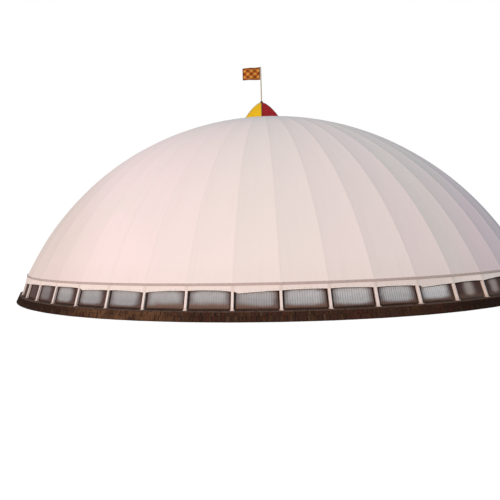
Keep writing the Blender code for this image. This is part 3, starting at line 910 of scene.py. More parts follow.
def box_rings(low, high, chamfer):
    """A chamfered upright block as a loft along Z."""
    (x0, y0, z0), (x1, y1, z1) = low, high

    def ring(z, inset):
        outline = octagon(x0 + inset, x1 - inset, y0 + inset, y1 - inset, chamfer)
        return [Vector((x, y, z)) for x, y in outline]

    inset = chamfer * 0.6
    return [ring(z0, inset), ring(z0 + inset, 0.0), ring(z1 - inset, 0.0), ring(z1, inset)]


# The dome's own lines


def place(azimuth, radius, height, aside=0.0):
    """The point at a radius and height on a line of azimuth, shifted aside at right angles to it."""
    x = radius * cos(azimuth) - aside * sin(azimuth)
    y = radius * sin(azimuth) + aside * cos(azimuth)
    return Vector((x, y, height))


def rib_azimuth(i):
    return FRONT + i * BAY_ANGLE


def sector_ribs(sector):
    return sector * BAYS_PER_SECTOR, (sector + 1) * BAYS_PER_SECTOR


def ring_run(section, sector, start=SEAT, end=SEAT):
    """Rings along a sector, with a corner on each rib line, cut short of its first and last rib line."""
    first, last = sector_ribs(sector)
    rings = [[place(rib_azimuth(first), r - start * tan(HALF_BAY), z, start) for r, z in section]]
    for i in range(first + 1, last):
        rings.append([place(rib_azimuth(i), r, z) for r, z in section])
    rings.append([place(rib_azimuth(last), r - end * tan(HALF_BAY), z, -end) for r, z in section])
    return rings


def leg_radius(height, distance=0.0):
    """The radius, at a height, of a line along the leg's outer face moved out by a distance."""
    return EAVE_RADIUS + (EAVE_HEIGHT - height) * (LEG_RUN / LEG_RISE) + distance / LEG_NORMAL[0]


def arc_point(angle):
    """The radius and height of a point on the arc of a rib's outer face."""
    return DOME_RADIUS * sin(angle), ARC_CENTRE + DOME_RADIUS * cos(angle)


def eave_mitre():
    """The way out along the eave's mitre that leads one metre off the leg and off the arc."""
    out, up = LEG_NORMAL[0] + sin(EAVE_ANGLE), LEG_NORMAL[1] + cos(EAVE_ANGLE)
    share = out * LEG_NORMAL[0] + up * LEG_NORMAL[1]
    return out / share, up / share


def between(value, low, high):
    return min(max((value - low) / (high - low), 0.0), 1.0)


def soft(value, low, high):
    share = between(value, low, high)
    return share * share * (3 - 2 * share)


def sag(angle):
    """How far the middle of a gore hangs inside its ribs. It is held straight at both ends."""
    share = between(EAVE_ANGLE - angle, 0.0, EAVE_ANGLE - CROWN_ANGLE)
    width = 2 * DOME_RADIUS * sin(angle) * sin(HALF_BAY)
    return SAG_RATIO * width * (1 - (2 * share - 1) ** SAG_POWER)


# Membrane

HEM_ROWS = 7
HEM_BAYS = 4
ARC_ROWS = 58
SPAN_COLUMNS = 10
LAP_SHARE = 0.92
LAP_CROWN = 0.85
CROWN_BAND = (1.3, 2.0)
CREASE_DEPTH = 0.007
PUCKER_DEPTH = 0.0035
PUCKER_FADE = 0.35
PUCKER_TURNS = 24
ROLL_WIDTH = 2.7
EYELET_RISE = 0.06
EYELET_RADIUS = 0.020
EYELET_WIRE = 0.0055
POST_LIFT = [random.Random(5992 + i).uniform(0.110, -0.020) for i in range(BAYS)]
ARCH_SHARE = [random.Random(97 + i).uniform(0.25, 1.0) for i in range(BAYS)]
ARCH_SKEW = [random.Random(53 + i).uniform(-0.3, 0.3) for i in range(BAYS)]


def meridian():
    """Stations up a rib's outer face: radius, height, normal, sag and rise above the eave."""
    rows = []
    for k in range(HEM_ROWS):
        height = EAVE_HEIGHT - HEM_DROP * (1 - k / HEM_ROWS)
        rows.append((leg_radius(height), height, LEG_NORMAL, 0.0, height - EAVE_HEIGHT))
    top = asin(MEMBRANE_TOP_RADIUS / DOME_RADIUS)
    for k in range(ARC_ROWS + 1):
        angle = EAVE_ANGLE + (top - EAVE_ANGLE) * k / ARC_ROWS
        along = DOME_RADIUS * (EAVE_ANGLE - angle)
        rows.append((*arc_point(angle), (sin(angle), cos(angle)), sag(angle), along))
    return rows


def hem_edge(gore, t):
    """How far the free edge lies above its mean level at a share of the way across a gore."""
    i = gore % BAYS
    ends = POST_LIFT[i] * (1 - t) + POST_LIFT[(i + 1) % BAYS] * t
    lean = t + ARCH_SKEW[i] * t * (1 - t)
    arch = sizes().hem_arch * ARCH_SHARE[i] * (4 * lean * (1 - lean)) ** 0.8
    if i % HEM_BAYS < HEM_BAYS - 1:
        return ends + arch
    return ends + arch * 0.3 - sizes().hem_slack * soft(t, 0.0, 0.12) * (1 - t)


def gore_column(gore, part, row, proud):
    """The cloth part of the way across a gore: point, and distances from the nearer and the first seam."""
    radius, height, (out, up), depth, rise = row
    half_gore = radius * tan(HALF_BAY)
    lip = min(RIB_WIDTH / 2, half_gore * LAP_SHARE)
    width = 2 * half_gore
    first, last = rib_azimuth(gore), rib_azimuth(gore + 1)
    off_crown = soft(radius, *CROWN_BAND)
    lifted = proud + RIDGE_RISE * (1 - off_crown)
    kind, share = part
    if kind != "span":
        way, azimuth = (1, first) if kind == "first" else (-1, last)
        reach = lifted + RIDGE_RISE * LAP_CROWN * (1 - share**2) * off_crown
        point = place(azimuth, radius + out * reach, height + up * reach, way * (lip * share or SEAT))
        across = lip * share if kind == "first" else width - lip * share
        return point, min(across, width - across), across
    a = place(first, radius + out * lifted, height + up * lifted, lip)
    b = place(last, radius + out * lifted, height + up * lifted, -lip)
    middle = (first + last) / 2
    inward = Vector((out * cos(middle), out * sin(middle), up))
    bow = 4 * share * (1 - share)
    point = a.lerp(b, share) - inward * depth * bow
    across = lip + share * (width - 2 * lip)
    pucker = 0.0
    if rise < 0:
        fall = (rise / HEM_DROP) ** 2
        wave = sin(2 * pi * (share * 2.0 + ARCH_SHARE[gore % BAYS] * 3.0)) * 0.5 + 0.6
        point += inward * sizes().hem_flutter * bow * fall * wave
    else:
        pucker = sin(across * PUCKER_TURNS + gore) * PUCKER_DEPTH * 2.7 ** (-rise / PUCKER_FADE)
    crease = noise.noise(Vector((gore * 3.1 + across * 2.2, rise * 0.55, 4.0)))
    point += inward * (crease * CREASE_DEPTH + pucker) * bow
    return point, min(across, width - across), across


def membrane_parts():
    over = [("first", s) for s in (0.0, 0.5, 1.0)]
    span = [("span", k / SPAN_COLUMNS) for k in range(1, SPAN_COLUMNS)]
    return over + span + [("last", s) for s in (1.0, 0.5, 0.0)]


def lowered(row, gore, part):
    """A hem row moved so that the lowest one follows the free edge."""
    radius, height, normal, depth, rise = row
    if rise >= 0:
        return row
    kind, share = part
    t = {"first": 0.0, "span": share, "last": 1.0}[kind]
    height += hem_edge(gore, t) * (-rise / HEM_DROP)
    return leg_radius(height), height, normal, depth, rise


def membrane_sheet(sector, material):
    """One sector's cloth: eight gores with welded laps on the ribs, and the free edge below the eave."""
    first, last = sector_ribs(sector)
    proud = SEAT + sizes().cloth
    rows, parts = meridian(), membrane_parts()
    grid, seams, rises, rolls = [], [], [], []
    for gore in range(first, last):
        for part in parts if gore == first else parts[1:]:
            column = [gore_column(gore, part, lowered(row, gore, part), proud) for row in rows]
            grid.append([point for point, _, _ in column])
            seams += [seam for _, seam, _ in column]
            rises += [row[4] for row in rows]
        roll = random.Random(gore * 7 + 3).random()
        rolls += [roll] * ((len(parts) - 1) * (len(rows) - 1))
    widths = [[gore_column(first, part, row, proud)[2] for row in rows] for part in parts]

    def flat(i, side, j):
        gore, part = divmod(i, len(parts) - 1)
        return (first + gore) * ROLL_WIDTH + widths[part + side][j], rows[j][4] + HEM_DROP

    mesh = grid_mesh(f"membrane_cloth_{sector + 1}", grid, flat)
    marks = (("seam", "POINT", seams), ("rise", "POINT", rises), ("roll", "FACE", rolls))
    for title, domain, values in marks:
        mesh.attributes.new(title, "FLOAT", domain).data.foreach_set("value", values)
    sheet = new_piece(mesh.name, mesh, material)
    thicken(sheet, sizes().cloth, -1.0)
    return settle(sheet, "membrane", f"membrane_{sector + 1}")


def hem_line(sector, above):
    """The free edge of one sector, or a line a little above it."""
    proud = SEAT + sizes().cloth
    base = (0, EAVE_HEIGHT - HEM_DROP, LEG_NORMAL, 0.0, -HEM_DROP)
    line = []
    for gore in range(*sector_ribs(sector)):
        for part in membrane_parts()[:-1]:
            height = lowered(base, gore, part)[1] + above
            row = (leg_radius(height), height, *base[2:])
            line.append(gore_column(gore, part, row, proud)[0])
    return line


# Pieces


def make_membrane():
    cloth = membrane_finish()
    rope_paint = steel_finish("hem_rope", ROPE_WHITE, 0.1, 0.7)
    ring_paint = steel_finish("eyelet_steel", EYELET_GREY, 0.4, 0.4)
    for sector in range(SECTORS):
        sheet = membrane_sheet(sector, cloth)
        rope = run_along(
            f"hem_rope_{sector + 1}",
            hem_line(sector, 0.0),
            rope_tree(),
            "membrane",
            radius=sizes().hem_rope / 2,
            sides=ROPE_SIDES,
            finish=rope_paint,
        )
        rings = run_along(
            f"hem_eyelets_{sector + 1}",
            hem_line(sector, EYELET_RISE),
            eyelets_tree(),
            "membrane",
            pitch=sizes().eyelet_pitch,
            radius=EYELET_RADIUS,
            wire=EYELET_WIRE,
            lean=LEG_NORMAL[1] / LEG_NORMAL[0],
            finish=ring_paint,
        )


RIB_RINGS = 40
PLATE_CHAMFER = 0.004
BEAM_CHAMFER = 0.010
GUSSET = ((0.0, 0.0), (0.035, 0.0), (0.0, 0.11))
GUSSET_HALF = 0.006
ANCHOR_SPOTS = [(x, y) for x in (-0.086, 0.086) for y in (-0.090, 0.090)]
# A washer, its nut and the end of the thread: radius, sides, foot and top
ANCHOR_PARTS = ((0.017, 12, 0.0, 0.003), (0.013, 6, 0.003, 0.016), (0.007, 8, 0.016, 0.03))


def rib_mesh():
    """One rib on the X axis: its leaning leg and its arc, and the base plate on the plinth."""
    half = RIB_WIDTH / 2
    section = octagon(-RIB_WIDTH, 0.0, -half, half, sizes().tube_corner)
    rings = [[place(0.0, leg_radius(PLATE_TOP, d), PLATE_TOP, t) for d, t in section]]
    for k in range(RIB_RINGS + 1):
        angle = EAVE_ANGLE + (CROWN_ANGLE - EAVE_ANGLE) * k / RIB_RINGS
        radius, height = arc_point(angle)
        out, up = (sin(angle), cos(angle)) if k else eave_mitre()
        rings.append([place(0.0, radius + out * d, height + up * d, t) for d, t in section])
    plate = BASE_PLATE / 2
    foot = leg_radius(PLATE_TOP, -half)
    low = (foot - plate, -plate, PLINTH_HEIGHT + SEAT)
    high = (foot + plate, plate, PLATE_TOP)
    shells = [rings, box_rings(low, high, PLATE_CHAMFER)]
    for side in (-1, 1):
        profile = [(side * (half + y), PLATE_TOP + z) for y, z in GUSSET]
        ends = (foot - GUSSET_HALF, foot + GUSSET_HALF)
        shells.append([[Vector((x, y, z)) for y, z in profile] for x in ends])
    return lofts("rib", shells, 0.5)


def anchor_mesh():
    """Four nuts with washers and thread ends on one rib's base plate, on the X axis."""
    foot = leg_radius(PLATE_TOP, -RIB_WIDTH / 2)
    shells = []
    for x, y in ANCHOR_SPOTS:
        for radius, sides, low, high in ANCHOR_PARTS:
            shells.append([circle(radius, PLATE_TOP + z, sides, foot + x, y) for z in (low, high)])
    return lofts("anchors", shells, 0.5)


def make_ribs():
    paint = steel_finish("rib_paint", tones().steel)
    dark = steel_finish("anchor_steel", ANCHOR_GREY, 1.2, 0.4)
    radius, half = leg_radius(EAVE_HEIGHT, -RIB_WIDTH / 2), RING_BEAM / 2
    beam = [(radius + x, EAVE_HEIGHT + z) for x, z in octagon(-half, half, -half, half, BEAM_CHAMFER)]
    for sector in range(SECTORS):
        ribs = round_sector(new_piece(f"rib_tubes_{sector + 1}", rib_mesh()), sector, paint)
        settle(ribs, "rib_paint", f"rib_frame_{2 * sector + 1}", f"rib_frame_{2 * sector + 2}")
        anchors = new_piece(f"rib_anchors_{sector + 1}", anchor_mesh())
        settle(round_sector(anchors, sector, dark), "rib_paint")
        rings = ring_run(beam, sector, 0.0, RIB_WIDTH / 2 + SEAT)
        lofted(f"eave_beam_{sector + 1}", rings, paint, "rib_paint")


RAIL_GAP = 0.006
RAIL_CHAMFER = 0.009
RAIL_GROOVE = 0.010
GROOVE_SLOPE = 0.004
GROOVE_DEPTH = 0.006
BOLT_LINE = 0.033
BOLT_INSET = 0.06


def make_rails():
    """The clamping rail over the cloth, with its bolts."""
    paint = steel_finish("rail_paint", tones().rail, 0.5, 0.5)
    bolt_paint = steel_finish("rail_bolts", BOLT_GREY, 0.8, 0.35)
    near = RIDGE_RISE + RAIL_GAP + SEAT
    far = near + RAIL_THICKNESS
    half, c, groove = RAIL_HEIGHT / 2, RAIL_CHAMFER, RAIL_GROOVE
    out, up = eave_mitre()

    def at(along, distance):
        """A point of the section: along the leg below the eave, or along the arc above it."""
        radius, height = EAVE_RADIUS + out * distance, EAVE_HEIGHT + up * distance
        if along < 0:
            return radius - along * LEG_NORMAL[1], height + along * LEG_NORMAL[0]
        return radius - along * cos(EAVE_ANGLE), height + along * sin(EAVE_ANGLE)

    lower = [at(-half, near), at(-half, far - c), at(-half + c, far)]
    bed, sunk = groove - GROOVE_SLOPE, far - GROOVE_DEPTH
    middle = [at(-groove, far), at(-bed, sunk), at(bed, sunk), at(groove, far)]
    upper = [at(half - c, far), at(half, far - c), at(half, near), at(0, near)]
    radius, height = at(BOLT_LINE, far)
    for sector in range(SECTORS):
        rings = ring_run(lower + middle + upper, sector)
        node = f"eave_rail_{sector + 1}"
        lofted(f"clamp_rail_{sector + 1}", rings, paint, "rail_paint", node, smooth_below=0.4)
        first, last = sector_ribs(sector)
        line = [place(rib_azimuth(i), radius, height) for i in range(first, last + 1)]
        line[0] = line[0].lerp(line[1], BOLT_INSET)
        line[-1] = line[-1].lerp(line[-2], BOLT_INSET)
        run_along(
            f"rail_bolts_{sector + 1}",
            line,
            bolts_tree(),
            "rail_paint",
            pitch=sizes().bolt_pitch,
            width=sizes().bolt_width,
            lean=cos(EAVE_ANGLE) / sin(EAVE_ANGLE),
            finish=bolt_paint,
        )


SCREEN_GAP = 0.004
SCREEN_ROWS = 3
POINTS_PER_WAVE = 8
SILL_LAP = 0.012
SILL_LIP = 0.018
SILL_STEP = 0.026
SILL_BACK = 0.016
SILL_CHAMFER = 0.008
JAMB_FACES = (-0.0006, -0.0032)


def screen_mesh():
    """One bay's flat screen between the X axis and the next rib, with its UV map in metres."""
    behind = -RIB_WIDTH - SEAT - sizes().corrugation_depth - SCREEN_GAP
    low = PLATE_TOP + SEAT + SILL_HEIGHT - SILL_LAP
    high = EAVE_HEIGHT - RING_BEAM - SCREEN_GAP
    steps = SCREEN_ROWS - 1
    columns = POINTS_PER_WAVE * int(GORE_WIDTH / sizes().corrugation)
    grid = []
    for i in range(columns + 1):
        column = []
        for j in range(SCREEN_ROWS):
            z = low + (high - low) * j / steps
            a, b = (place(azimuth, leg_radius(z, behind), z) for azimuth in (0.0, BAY_ANGLE))
            column.append(a.lerp(b, (i + 0.2) / (columns + 0.4)))
        grid.append(column)

    def flat(i, side, j):
        return GORE_WIDTH * (i + side) / columns, (high - low) * j / steps

    return grid_mesh("screen", grid, flat)


def make_screens():
    """Ribbed screens behind the posts, on a dark sill, with dark boards beside each post."""
    sheet = screen_finish()
    dark = steel_finish("sill_steel", tones().sill, 0.15, 0.7, 0.03, 0.06)
    foot = PLATE_TOP + SEAT
    top = foot + SILL_HEIGHT
    face = leg_radius(foot, -RIB_WIDTH - SEAT)
    back = face - SILL_WIDTH
    c, inner = SILL_CHAMFER, face - SILL_BACK
    sill = [(face, foot), (face, foot + SILL_LIP), (face - SILL_LAP, foot + SILL_STEP)]
    sill += [(inner, top - c), (inner - c, top), (back, top), (back, foot)]
    half = sizes().jamb / 2
    near, far = JAMB_FACES
    board = []
    for z in (top + 0.001, EAVE_HEIGHT - RING_BEAM - SCREEN_GAP):
        ring = []
        for d, t in ((near, -half), (near, half), (far, half), (far, -half)):
            inset = abs(t) * tan(HALF_BAY) * 0.5
            ring.append(place(0.0, leg_radius(z, -RIB_WIDTH + d) - inset, z, t))
        board.append(ring)
    for sector in range(SECTORS):
        screens = new_piece(f"ribbed_screens_{sector + 1}", screen_mesh())
        pitch, depth = sizes().corrugation, sizes().corrugation_depth
        grow(screens, corrugate_tree(), pitch=pitch, depth=depth, finish=sheet)
        round_sector(screens, sector, sheet, sector + 3)
        thicken(screens, SCREEN_THICKNESS, 0.0)
        settle(screens, "screen", f"vent_screen_{sector + 1}")
        sill_rings = ring_run(sill, sector)
        lofted(f"screen_sill_{sector + 1}", sill_rings, dark, "screen", smooth_below=0.4)
        jambs = new_piece(f"post_jambs_{sector + 1}", lofts("jamb", [board]))
        settle(round_sector(jambs, sector, dark), "screen")


def stone_mesh():
    """A worn block of unit size about the origin."""
    shape = bmesh.new()
    bmesh.ops.create_cube(shape, size=1.0)
    bmesh.ops.subdivide_edges(shape, edges=shape.edges, cuts=2, use_grid_fill=True)
    for vert in shape.verts:
        worn = sum(1 for x in vert.co if abs(x) > 0.45)
        vert.co *= (1.0, 1.0, 0.965, 0.90)[worn]
    return mesh_from(shape, "stone", 0.9)


SLABS = 4
SLAB_JOINT = 0.004
SLAB_EDGE = 0.010
COURSE_SHIFT = 0.003
LOWER_COURSE = (-0.02, 0.31, 0)
UPPER_COURSE_FOOT = 0.27
UPPER_COURSE_SEED = 40
SEEDS_PER_SECTOR = 100


def coping_mesh():
    """One bay's coping slabs, between the X axis and the next rib."""
    thickness = sizes().coping
    foot = PLINTH_HEIGHT - thickness
    outline = (
        (PLINTH_OUTER + BATTER * thickness - 0.004, foot),
        (PLINTH_OUTER + BATTER * 0.012, PLINTH_HEIGHT - SLAB_EDGE),
        (PLINTH_OUTER - SLAB_EDGE, PLINTH_HEIGHT),
        (PLINTH_INNER + 0.006, PLINTH_HEIGHT),
        (PLINTH_INNER, PLINTH_HEIGHT - 0.008),
        (PLINTH_INNER, foot),
    )
    shells = []
    for k in range(SLABS):
        shares = (k / SLABS + SLAB_JOINT, (k + 1) / SLABS - SLAB_JOINT)
        shells.append([[place(0.0, *p).lerp(place(BAY_ANGLE, *p), s) for p in outline] for s in shares])
    return lofts("coping", shells, 0.4)


def make_plinth():
    """The battered wall: a mortar core, two courses of upright split stones, and coping slabs."""
    stone = stone_finish()
    mortar = rough_finish("mortar", tones().mortar, MORTAR_PORES, 6.0, 0.006)
    slab = rough_finish("coping_stone", tones().coping, tones().stone, 5.0, 0.003, 0.85)
    top = PLINTH_HEIGHT - sizes().coping
    face = PLINTH_FOOT - sizes().mortar
    core = [(face, 0.0), (face - BATTER * top, top), (PLINTH_INNER, top), (PLINTH_INNER, 0.0)]
    count = round(PLINTH_FOOT * BAY_ANGLE * BAYS_PER_SECTOR / sizes().stone)
    courses = (LOWER_COURSE, (UPPER_COURSE_FOOT, top + 0.005, UPPER_COURSE_SEED))
    for sector in range(SECTORS):
        node = f"plinth_wall_{sector + 1}"
        lofted(f"plinth_core_{sector + 1}", ring_run(core, sector), mortar, "plinth_stone", node)
        for number, (low, high, seed) in enumerate(courses):
            stones = new_piece(f"facing_stones_{sector + 1}_{number + 1}", stone_mesh())
            grow(
                stones,
                stones_tree(),
                count=count,
                first_angle=rib_azimuth(sector * BAYS_PER_SECTOR) + number * COURSE_SHIFT,
                step_angle=BAY_ANGLE * BAYS_PER_SECTOR / count,
                foot_radius=PLINTH_FOOT * cos(HALF_BAY),
                batter=BATTER,
                width=sizes().stone,
                depth=sizes().stone_depth,
                low=low,
                high=high,
                seed=sizes().stone_seed + seed + sector * SEEDS_PER_SECTOR,
                finish=stone,
            )
            settle(stones, "plinth_stone")
        coping = round_sector(new_piece(f"coping_{sector + 1}", coping_mesh()), sector, slab)
        settle(coping, "plinth_stone")


def paint_node(name, material):
    """A CAD node whose shape is right keeps it, and takes the finish."""
    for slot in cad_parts[name].material_slots:
        slot.material = material


def make_floor_and_crown():
    """Finishes for the floor slab, the crown ring and the cap's frame, whose CAD shapes stay."""
    concrete = rough_finish("slab_concrete", tones().concrete, SLAB_PORES, 1.4, 0.003)
    paint = steel_finish("crown_paint", tones().steel, 0.5)
    paint_node("floor_slab", concrete)
    paint_node("crown_ring", paint)
    paint_node("cap_frame", paint)


CAP_RISE = CAP_TIP_HEIGHT - CAP_EAVE_HEIGHT
CAP_ROWS = 22
CAP_COLUMNS = 16
CAP_SEAMS = (4, 8, 12)
CAP_SEAT = 0.0005
CAP_HIP_GAP = 0.002
CAP_SEAM_RISE = 0.007
CAP_THICKNESS = 0.004


def cap_corner(height):
    share = (CAP_TIP_HEIGHT - height) / CAP_RISE
    return CAP_CORNER_RADIUS * share**CAP_POWER


def cap_heights():
    """Heights of the cap's rows, evenly inwards from its eave to its collar."""
    heights = []
    for row in range(CAP_ROWS + 1):
        radius = CAP_CORNER_RADIUS + (CAP_TOP_RADIUS - CAP_CORNER_RADIUS) * row / CAP_ROWS
        share = (radius / CAP_CORNER_RADIUS) ** (1 / CAP_POWER)
        heights.append(CAP_TIP_HEIGHT - CAP_RISE * share)
    return heights


def cap_side_mesh(name, azimuth):
    heights = cap_heights()
    shares = [2 * i / CAP_COLUMNS - 1 for i in range(CAP_COLUMNS + 1)]
    grid = []
    for i, share in enumerate(shares):
        seam = CAP_SEAM_RISE if i in CAP_SEAMS else 0.0
        column = []
        for z in heights:
            r = cap_corner(z) * cos(pi / CAP_SIDES) - CAP_SEAT
            reach = r * tan(pi / CAP_SIDES) - CAP_HIP_GAP
            column.append(place(azimuth, r + seam, z, share * reach))
        grid.append(column)

    def flat(i, side, j):
        half = cap_corner(heights[j]) * cos(pi / CAP_SIDES)
        return half * (1 - abs(shares[i + side])), heights[j] - CAP_EAVE_HEIGHT

    return grid_mesh(name, grid, flat)


def make_cap():
    """Four curved sides of painted sheet, with rolled trim along their hips and eaves."""
    red = cap_finish("cap_red", tones().cap_red)
    yellow = cap_finish("cap_yellow", tones().cap_yellow)
    dark = steel_finish("cap_trim", tones().cap_trim, 0.3, 0.45)
    for k in range(CAP_SIDES):
        tint, material = (("red", red), ("yellow", yellow))[k % 2]
        name = f"cap_{tint}_{k // 2 + 1}"
        mesh = cap_side_mesh(name, CAP_AZIMUTH + (k + 0.5) * CAP_SIDE_ANGLE)
        panel = new_piece(f"cap_side_{tint}_{k // 2 + 1}", mesh, material)
        thicken(panel, CAP_THICKNESS, -1.0)
        settle(panel, f"cap_{tint}", name)
    radius = sizes().trim / 2
    for k in range(CAP_SIDES):
        azimuth = CAP_AZIMUTH + k * CAP_SIDE_ANGLE
        hip = [place(azimuth, cap_corner(z) - radius * 0.9, z) for z in cap_heights()]
        rolled = {"radius": radius, "sides": ROPE_SIDES, "finish": dark}
        run_along(f"cap_hip_{k + 1}", hip, rope_tree(), "collar_paint", **rolled)
        ends = (azimuth, azimuth + CAP_SIDE_ANGLE)
        start, end = (place(a, CAP_CORNER_RADIUS - radius, CAP_EAVE_HEIGHT + radius * 0.8) for a in ends)
        eave = [start.lerp(end, share / 4) for share in range(5)]
        rolled["radius"] = radius * 0.8
        run_along(f"cap_edge_{k + 1}", eave, rope_tree(), "collar_paint", **rolled)
    paint_node("cap_collar", dark)


POLE_SIDES = 24
POLE_SHOULDER = 15.2
# The pole's top: shares of its radius, and how far below its top
POLE_HEAD = ((0.86, 0.10), (0.86, 0.05), (1.15, 0.045), (1.25, 0.025), (0.8, 0.004), (0.3, 0.0))
FLAG_COLUMNS = 56
FLAG_ROWS = 28
TIE_SIDES = 16
TIE_RADIUS = 0.005
TIE_GAP = 0.004
TIE_HEIGHTS = (0.04, 0.35, 0.66, 0.97)
FLAG_THICKNESS = 0.0015


def flag_point(share, up):
    """The flag's cloth at a share of its length and a share of its depth."""
    x = -POLE_RADIUS - SEAT - TIE_GAP - share * (FLAG_LENGTH - 0.03)
    y = sizes().flag_wave * share**0.5 * sin(2.6 * pi * share + 0.5 * (up - 0.5) * share)
    y += 0.012 * sin(9.0 * share + 5.0 * up) * share
    curl = 0.035 * share**3 * (2 * up - 1)
    dip = 0.020 * sin(pi * share) ** 2
    z = POLE_TOP - FLAG_DROP - FLAG_DEPTH * (1 - up) - curl - dip * up
    return Vector((x, y, z))


def make_flag():
    """The pole with its truck and rings, and the flag that flies from it."""
    paint = steel_finish("pole_paint", tones().pole, 0.4, 0.35)
    outline = [(1.0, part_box("flag_pole")[0].z), (1.0, POLE_SHOULDER)]
    outline += [(share, POLE_TOP - below) for share, below in POLE_HEAD]
    rings = [circle(POLE_RADIUS * share, z, POLE_SIDES) for share, z in outline]
    lofted("flag_pole_tube", rings, paint, "pole_paint", "flag_pole", smooth_below=0.7)
    grid = []
    for i in range(FLAG_COLUMNS + 1):
        grid.append([flag_point(i / FLAG_COLUMNS, j / FLAG_ROWS) for j in range(FLAG_ROWS + 1)])

    def flat(i, side, j):
        return FLAG_LENGTH * (i + side) / FLAG_COLUMNS, FLAG_DEPTH * j / FLAG_ROWS

    cloth = new_piece("flag_cloth", grid_mesh("flag_cloth", grid, flat), flag_finish())
    thicken(cloth, FLAG_THICKNESS, 0.0)
    settle(cloth, "flag_cloth", "flag")
    cord = {"radius": TIE_RADIUS, "sides": 6, "finish": paint}
    for number, up in enumerate(TIE_HEIGHTS):
        ring = circle(POLE_RADIUS + TIE_GAP, flag_point(0.0, up).z, TIE_SIDES)
        ring.append(ring[0])
        run_along(f"flag_tie_{number + 1}", ring, rope_tree(), "pole_paint", **cord)


# Stage

# The camera that the photograph's posts, eave, seams and outline give, in metres, radians and millimetres
CAMERA_PLACE = (0.0, -48.69, 4.307)
CAMERA_YAW = -0.1004
CAMERA_PITCH = -0.0236
CAMERA_ROLL = -0.0294
CAMERA_SPIN = -0.0382
CAMERA_LENS = 43.606
CAMERA_SHIFT = 0.091

KEY_WAY = (0.504, 0.844, -0.184)
KEY_STRENGTH = 2.90
KEY_TINT = (1.0, 0.756, 0.672)
KEY_ANGLE = 0.18
SKY_TINT = (0.405, 0.478, 0.525)
WHITE = (1.0, 1.0, 1.0)
FLOOR_RADIUS = 600.0
FLOOR_DEPTH = 0.002
FLOOR_BOUNCE = (0.22, 0.21, 0.20)
FLOOR_GLOW = (0.62, 0.62, 0.62)
FLOOR_PALE = ((0.78, 0.78, 0.78), (0.82, 0.82, 0.82))


def add_camera():
    cos_pitch = cos(CAMERA_PITCH)
    forward = Vector((sin(CAMERA_YAW) * cos_pitch, cos(CAMERA_YAW) * cos_pitch, sin(CAMERA_PITCH)))
    right = Vector((cos(CAMERA_YAW), -sin(CAMERA_YAW), 0.0))
    up = right.cross(forward)
    across = cos(CAMERA_ROLL) * right + sin(CAMERA_ROLL) * up
    above = -sin(CAMERA_ROLL) * right + cos(CAMERA_ROLL) * up
    turn = Matrix((across, above, -forward)).transposed().to_4x4()
    spin = Matrix.Rotation(CAMERA_SPIN, 4, "Z")
    eye = bpy.data.cameras.new("camera")
    eye.sensor_width = 36.0
    eye.lens = CAMERA_LENS
    eye.shift_x = CAMERA_SHIFT
    eye.clip_end = 2000.0
    camera = new_piece("camera", eye)
    camera.matrix_world = spin @ Matrix.Translation(CAMERA_PLACE) @ turn
    bpy.context.scene.camera = camera


def add_key():
    """A soft distant light, low and warm."""
    lamp = bpy.data.lights.new("key", "SUN")
    lamp.energy = KEY_STRENGTH
    lamp.color = KEY_TINT
    lamp.angle = KEY_ANGLE
    key = new_piece("key", lamp)
    key.rotation_mode = "QUATERNION"
    key.rotation_quaternion = Vector(KEY_WAY).normalized().to_track_quat("-Z", "Y")


def seen_directly(g):
    return g.get("ShaderNodeLightPath", output="Is Camera Ray")


def add_sky():
    """White for the camera. What lights the hall is dimmer and cool, so that the key light models it."""
    world = bpy.data.worlds.new("studio")
    world.use_nodes = True
    g = Graph(world.node_tree)
    back = world.node_tree.nodes["Background"]
    g.put(back.inputs["Color"], g.coats(SKY_TINT, (seen_directly(g), WHITE)))
    back.inputs["Strength"].default_value = 1.0
    bpy.context.scene.world = world


def make_stage():
    shape = bmesh.new()
    bmesh.ops.create_circle(shape, cap_ends=True, segments=96, radius=FLOOR_RADIUS)
    bmesh.ops.translate(shape, vec=(0, 0, -FLOOR_DEPTH), verts=shape.verts)

    def lay(g):
        seen = seen_directly(g)
        pale = g.coats(FLOOR_PALE[0], (g.noise(g.place(), 0.08, 2.0), FLOOR_PALE[1]))
        glow = g.coats((0.0, 0.0, 0.0), (seen, FLOOR_GLOW))
        base = g.coats(FLOOR_BOUNCE, (seen, pale))
        return {"Base Color": base, "Emission Color": glow, "Emission Strength": 1.0}

    ground = finish("studio_floor", lay, 0.95)
    new_piece("studio_floor", mesh_from(shape, "studio_floor"), ground)
    add_sky()
    add_key()
    add_camera()
    bpy.context.scene.view_settings.view_transform = "Standard"


# Operators and panel


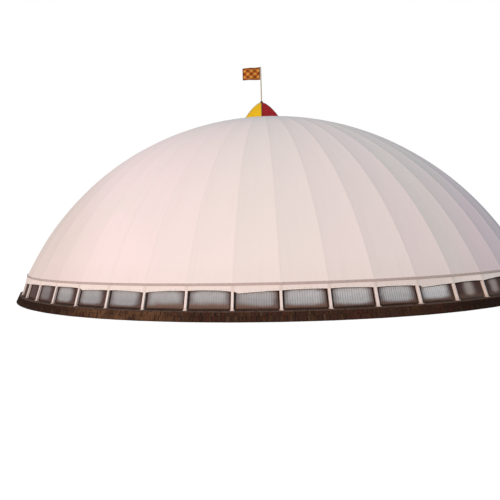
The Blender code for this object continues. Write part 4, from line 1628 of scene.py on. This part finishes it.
def operator(name, label, text, *makers):
    """An Operator class that runs makers in order. What they raise stops the script."""

    def execute(self, context):
        for make in makers:
            make()
        return {"FINISHED"}

    return type(
        "DOME_OT_" + name,
        (bpy.types.Operator,),
        {"bl_idname": "dome." + name, "bl_label": label, "__doc__": text, "execute": execute},
    )


STEPS = (
    operator("membrane", "Membrane", "Build the membrane's cloth with its hem", make_membrane),
    operator("ribs", "Ribs", "Build the ribs, posts and eave beam", make_ribs),
    operator("rails", "Eave Rail", "Build the clamping rail and its bolts", make_rails),
    operator("screens", "Screens", "Build the ribbed screens, sills and jambs", make_screens),
    operator("plinth", "Plinth", "Build the plinth's core, stones and coping", make_plinth),
    operator("crown", "Floor and Crown", "Finish the slab and the crown's steel", make_floor_and_crown),
    operator("cap", "Cap", "Build the cap's sides and trim", make_cap),
    operator("flag", "Flag", "Build the flag pole and the flag", make_flag),
    operator("stage", "Stage", "Build the floor, the light and the camera", make_stage),
)


class DOME_PT_hall(bpy.types.Panel):
    """Lists the hall's sizes, colours and steps."""

    bl_idname = "DOME_PT_hall"
    bl_label = "Membrane Dome Hall"
    bl_space_type = "VIEW_3D"
    bl_region_type = "UI"
    bl_category = "Dome"

    def draw(self, context):
        for step in STEPS:
            self.layout.operator(step.bl_idname)
        for group in (context.scene.dome_sizes, context.scene.dome_colours):
            column = self.layout.column()
            for key in group.bl_rna.properties.keys():
                if key not in ("rna_type", "name"):
                    column.prop(group, key)


CLASSES = (DomeSizes, DomeColours, *STEPS, DOME_PT_hall)


def register():
    for cls in CLASSES:
        bpy.utils.register_class(cls)
    bpy.types.Scene.dome_sizes = PointerProperty(type=DomeSizes)
    bpy.types.Scene.dome_colours = PointerProperty(type=DomeColours)


def unregister():
    del bpy.types.Scene.dome_colours
    del bpy.types.Scene.dome_sizes
    for cls in reversed(CLASSES):
        bpy.utils.unregister_class(cls)


def main():
    register()
    for step in STEPS:
        getattr(bpy.ops.dome, step.bl_idname.split(".")[1])()


if __name__ == "__main__":
    main()
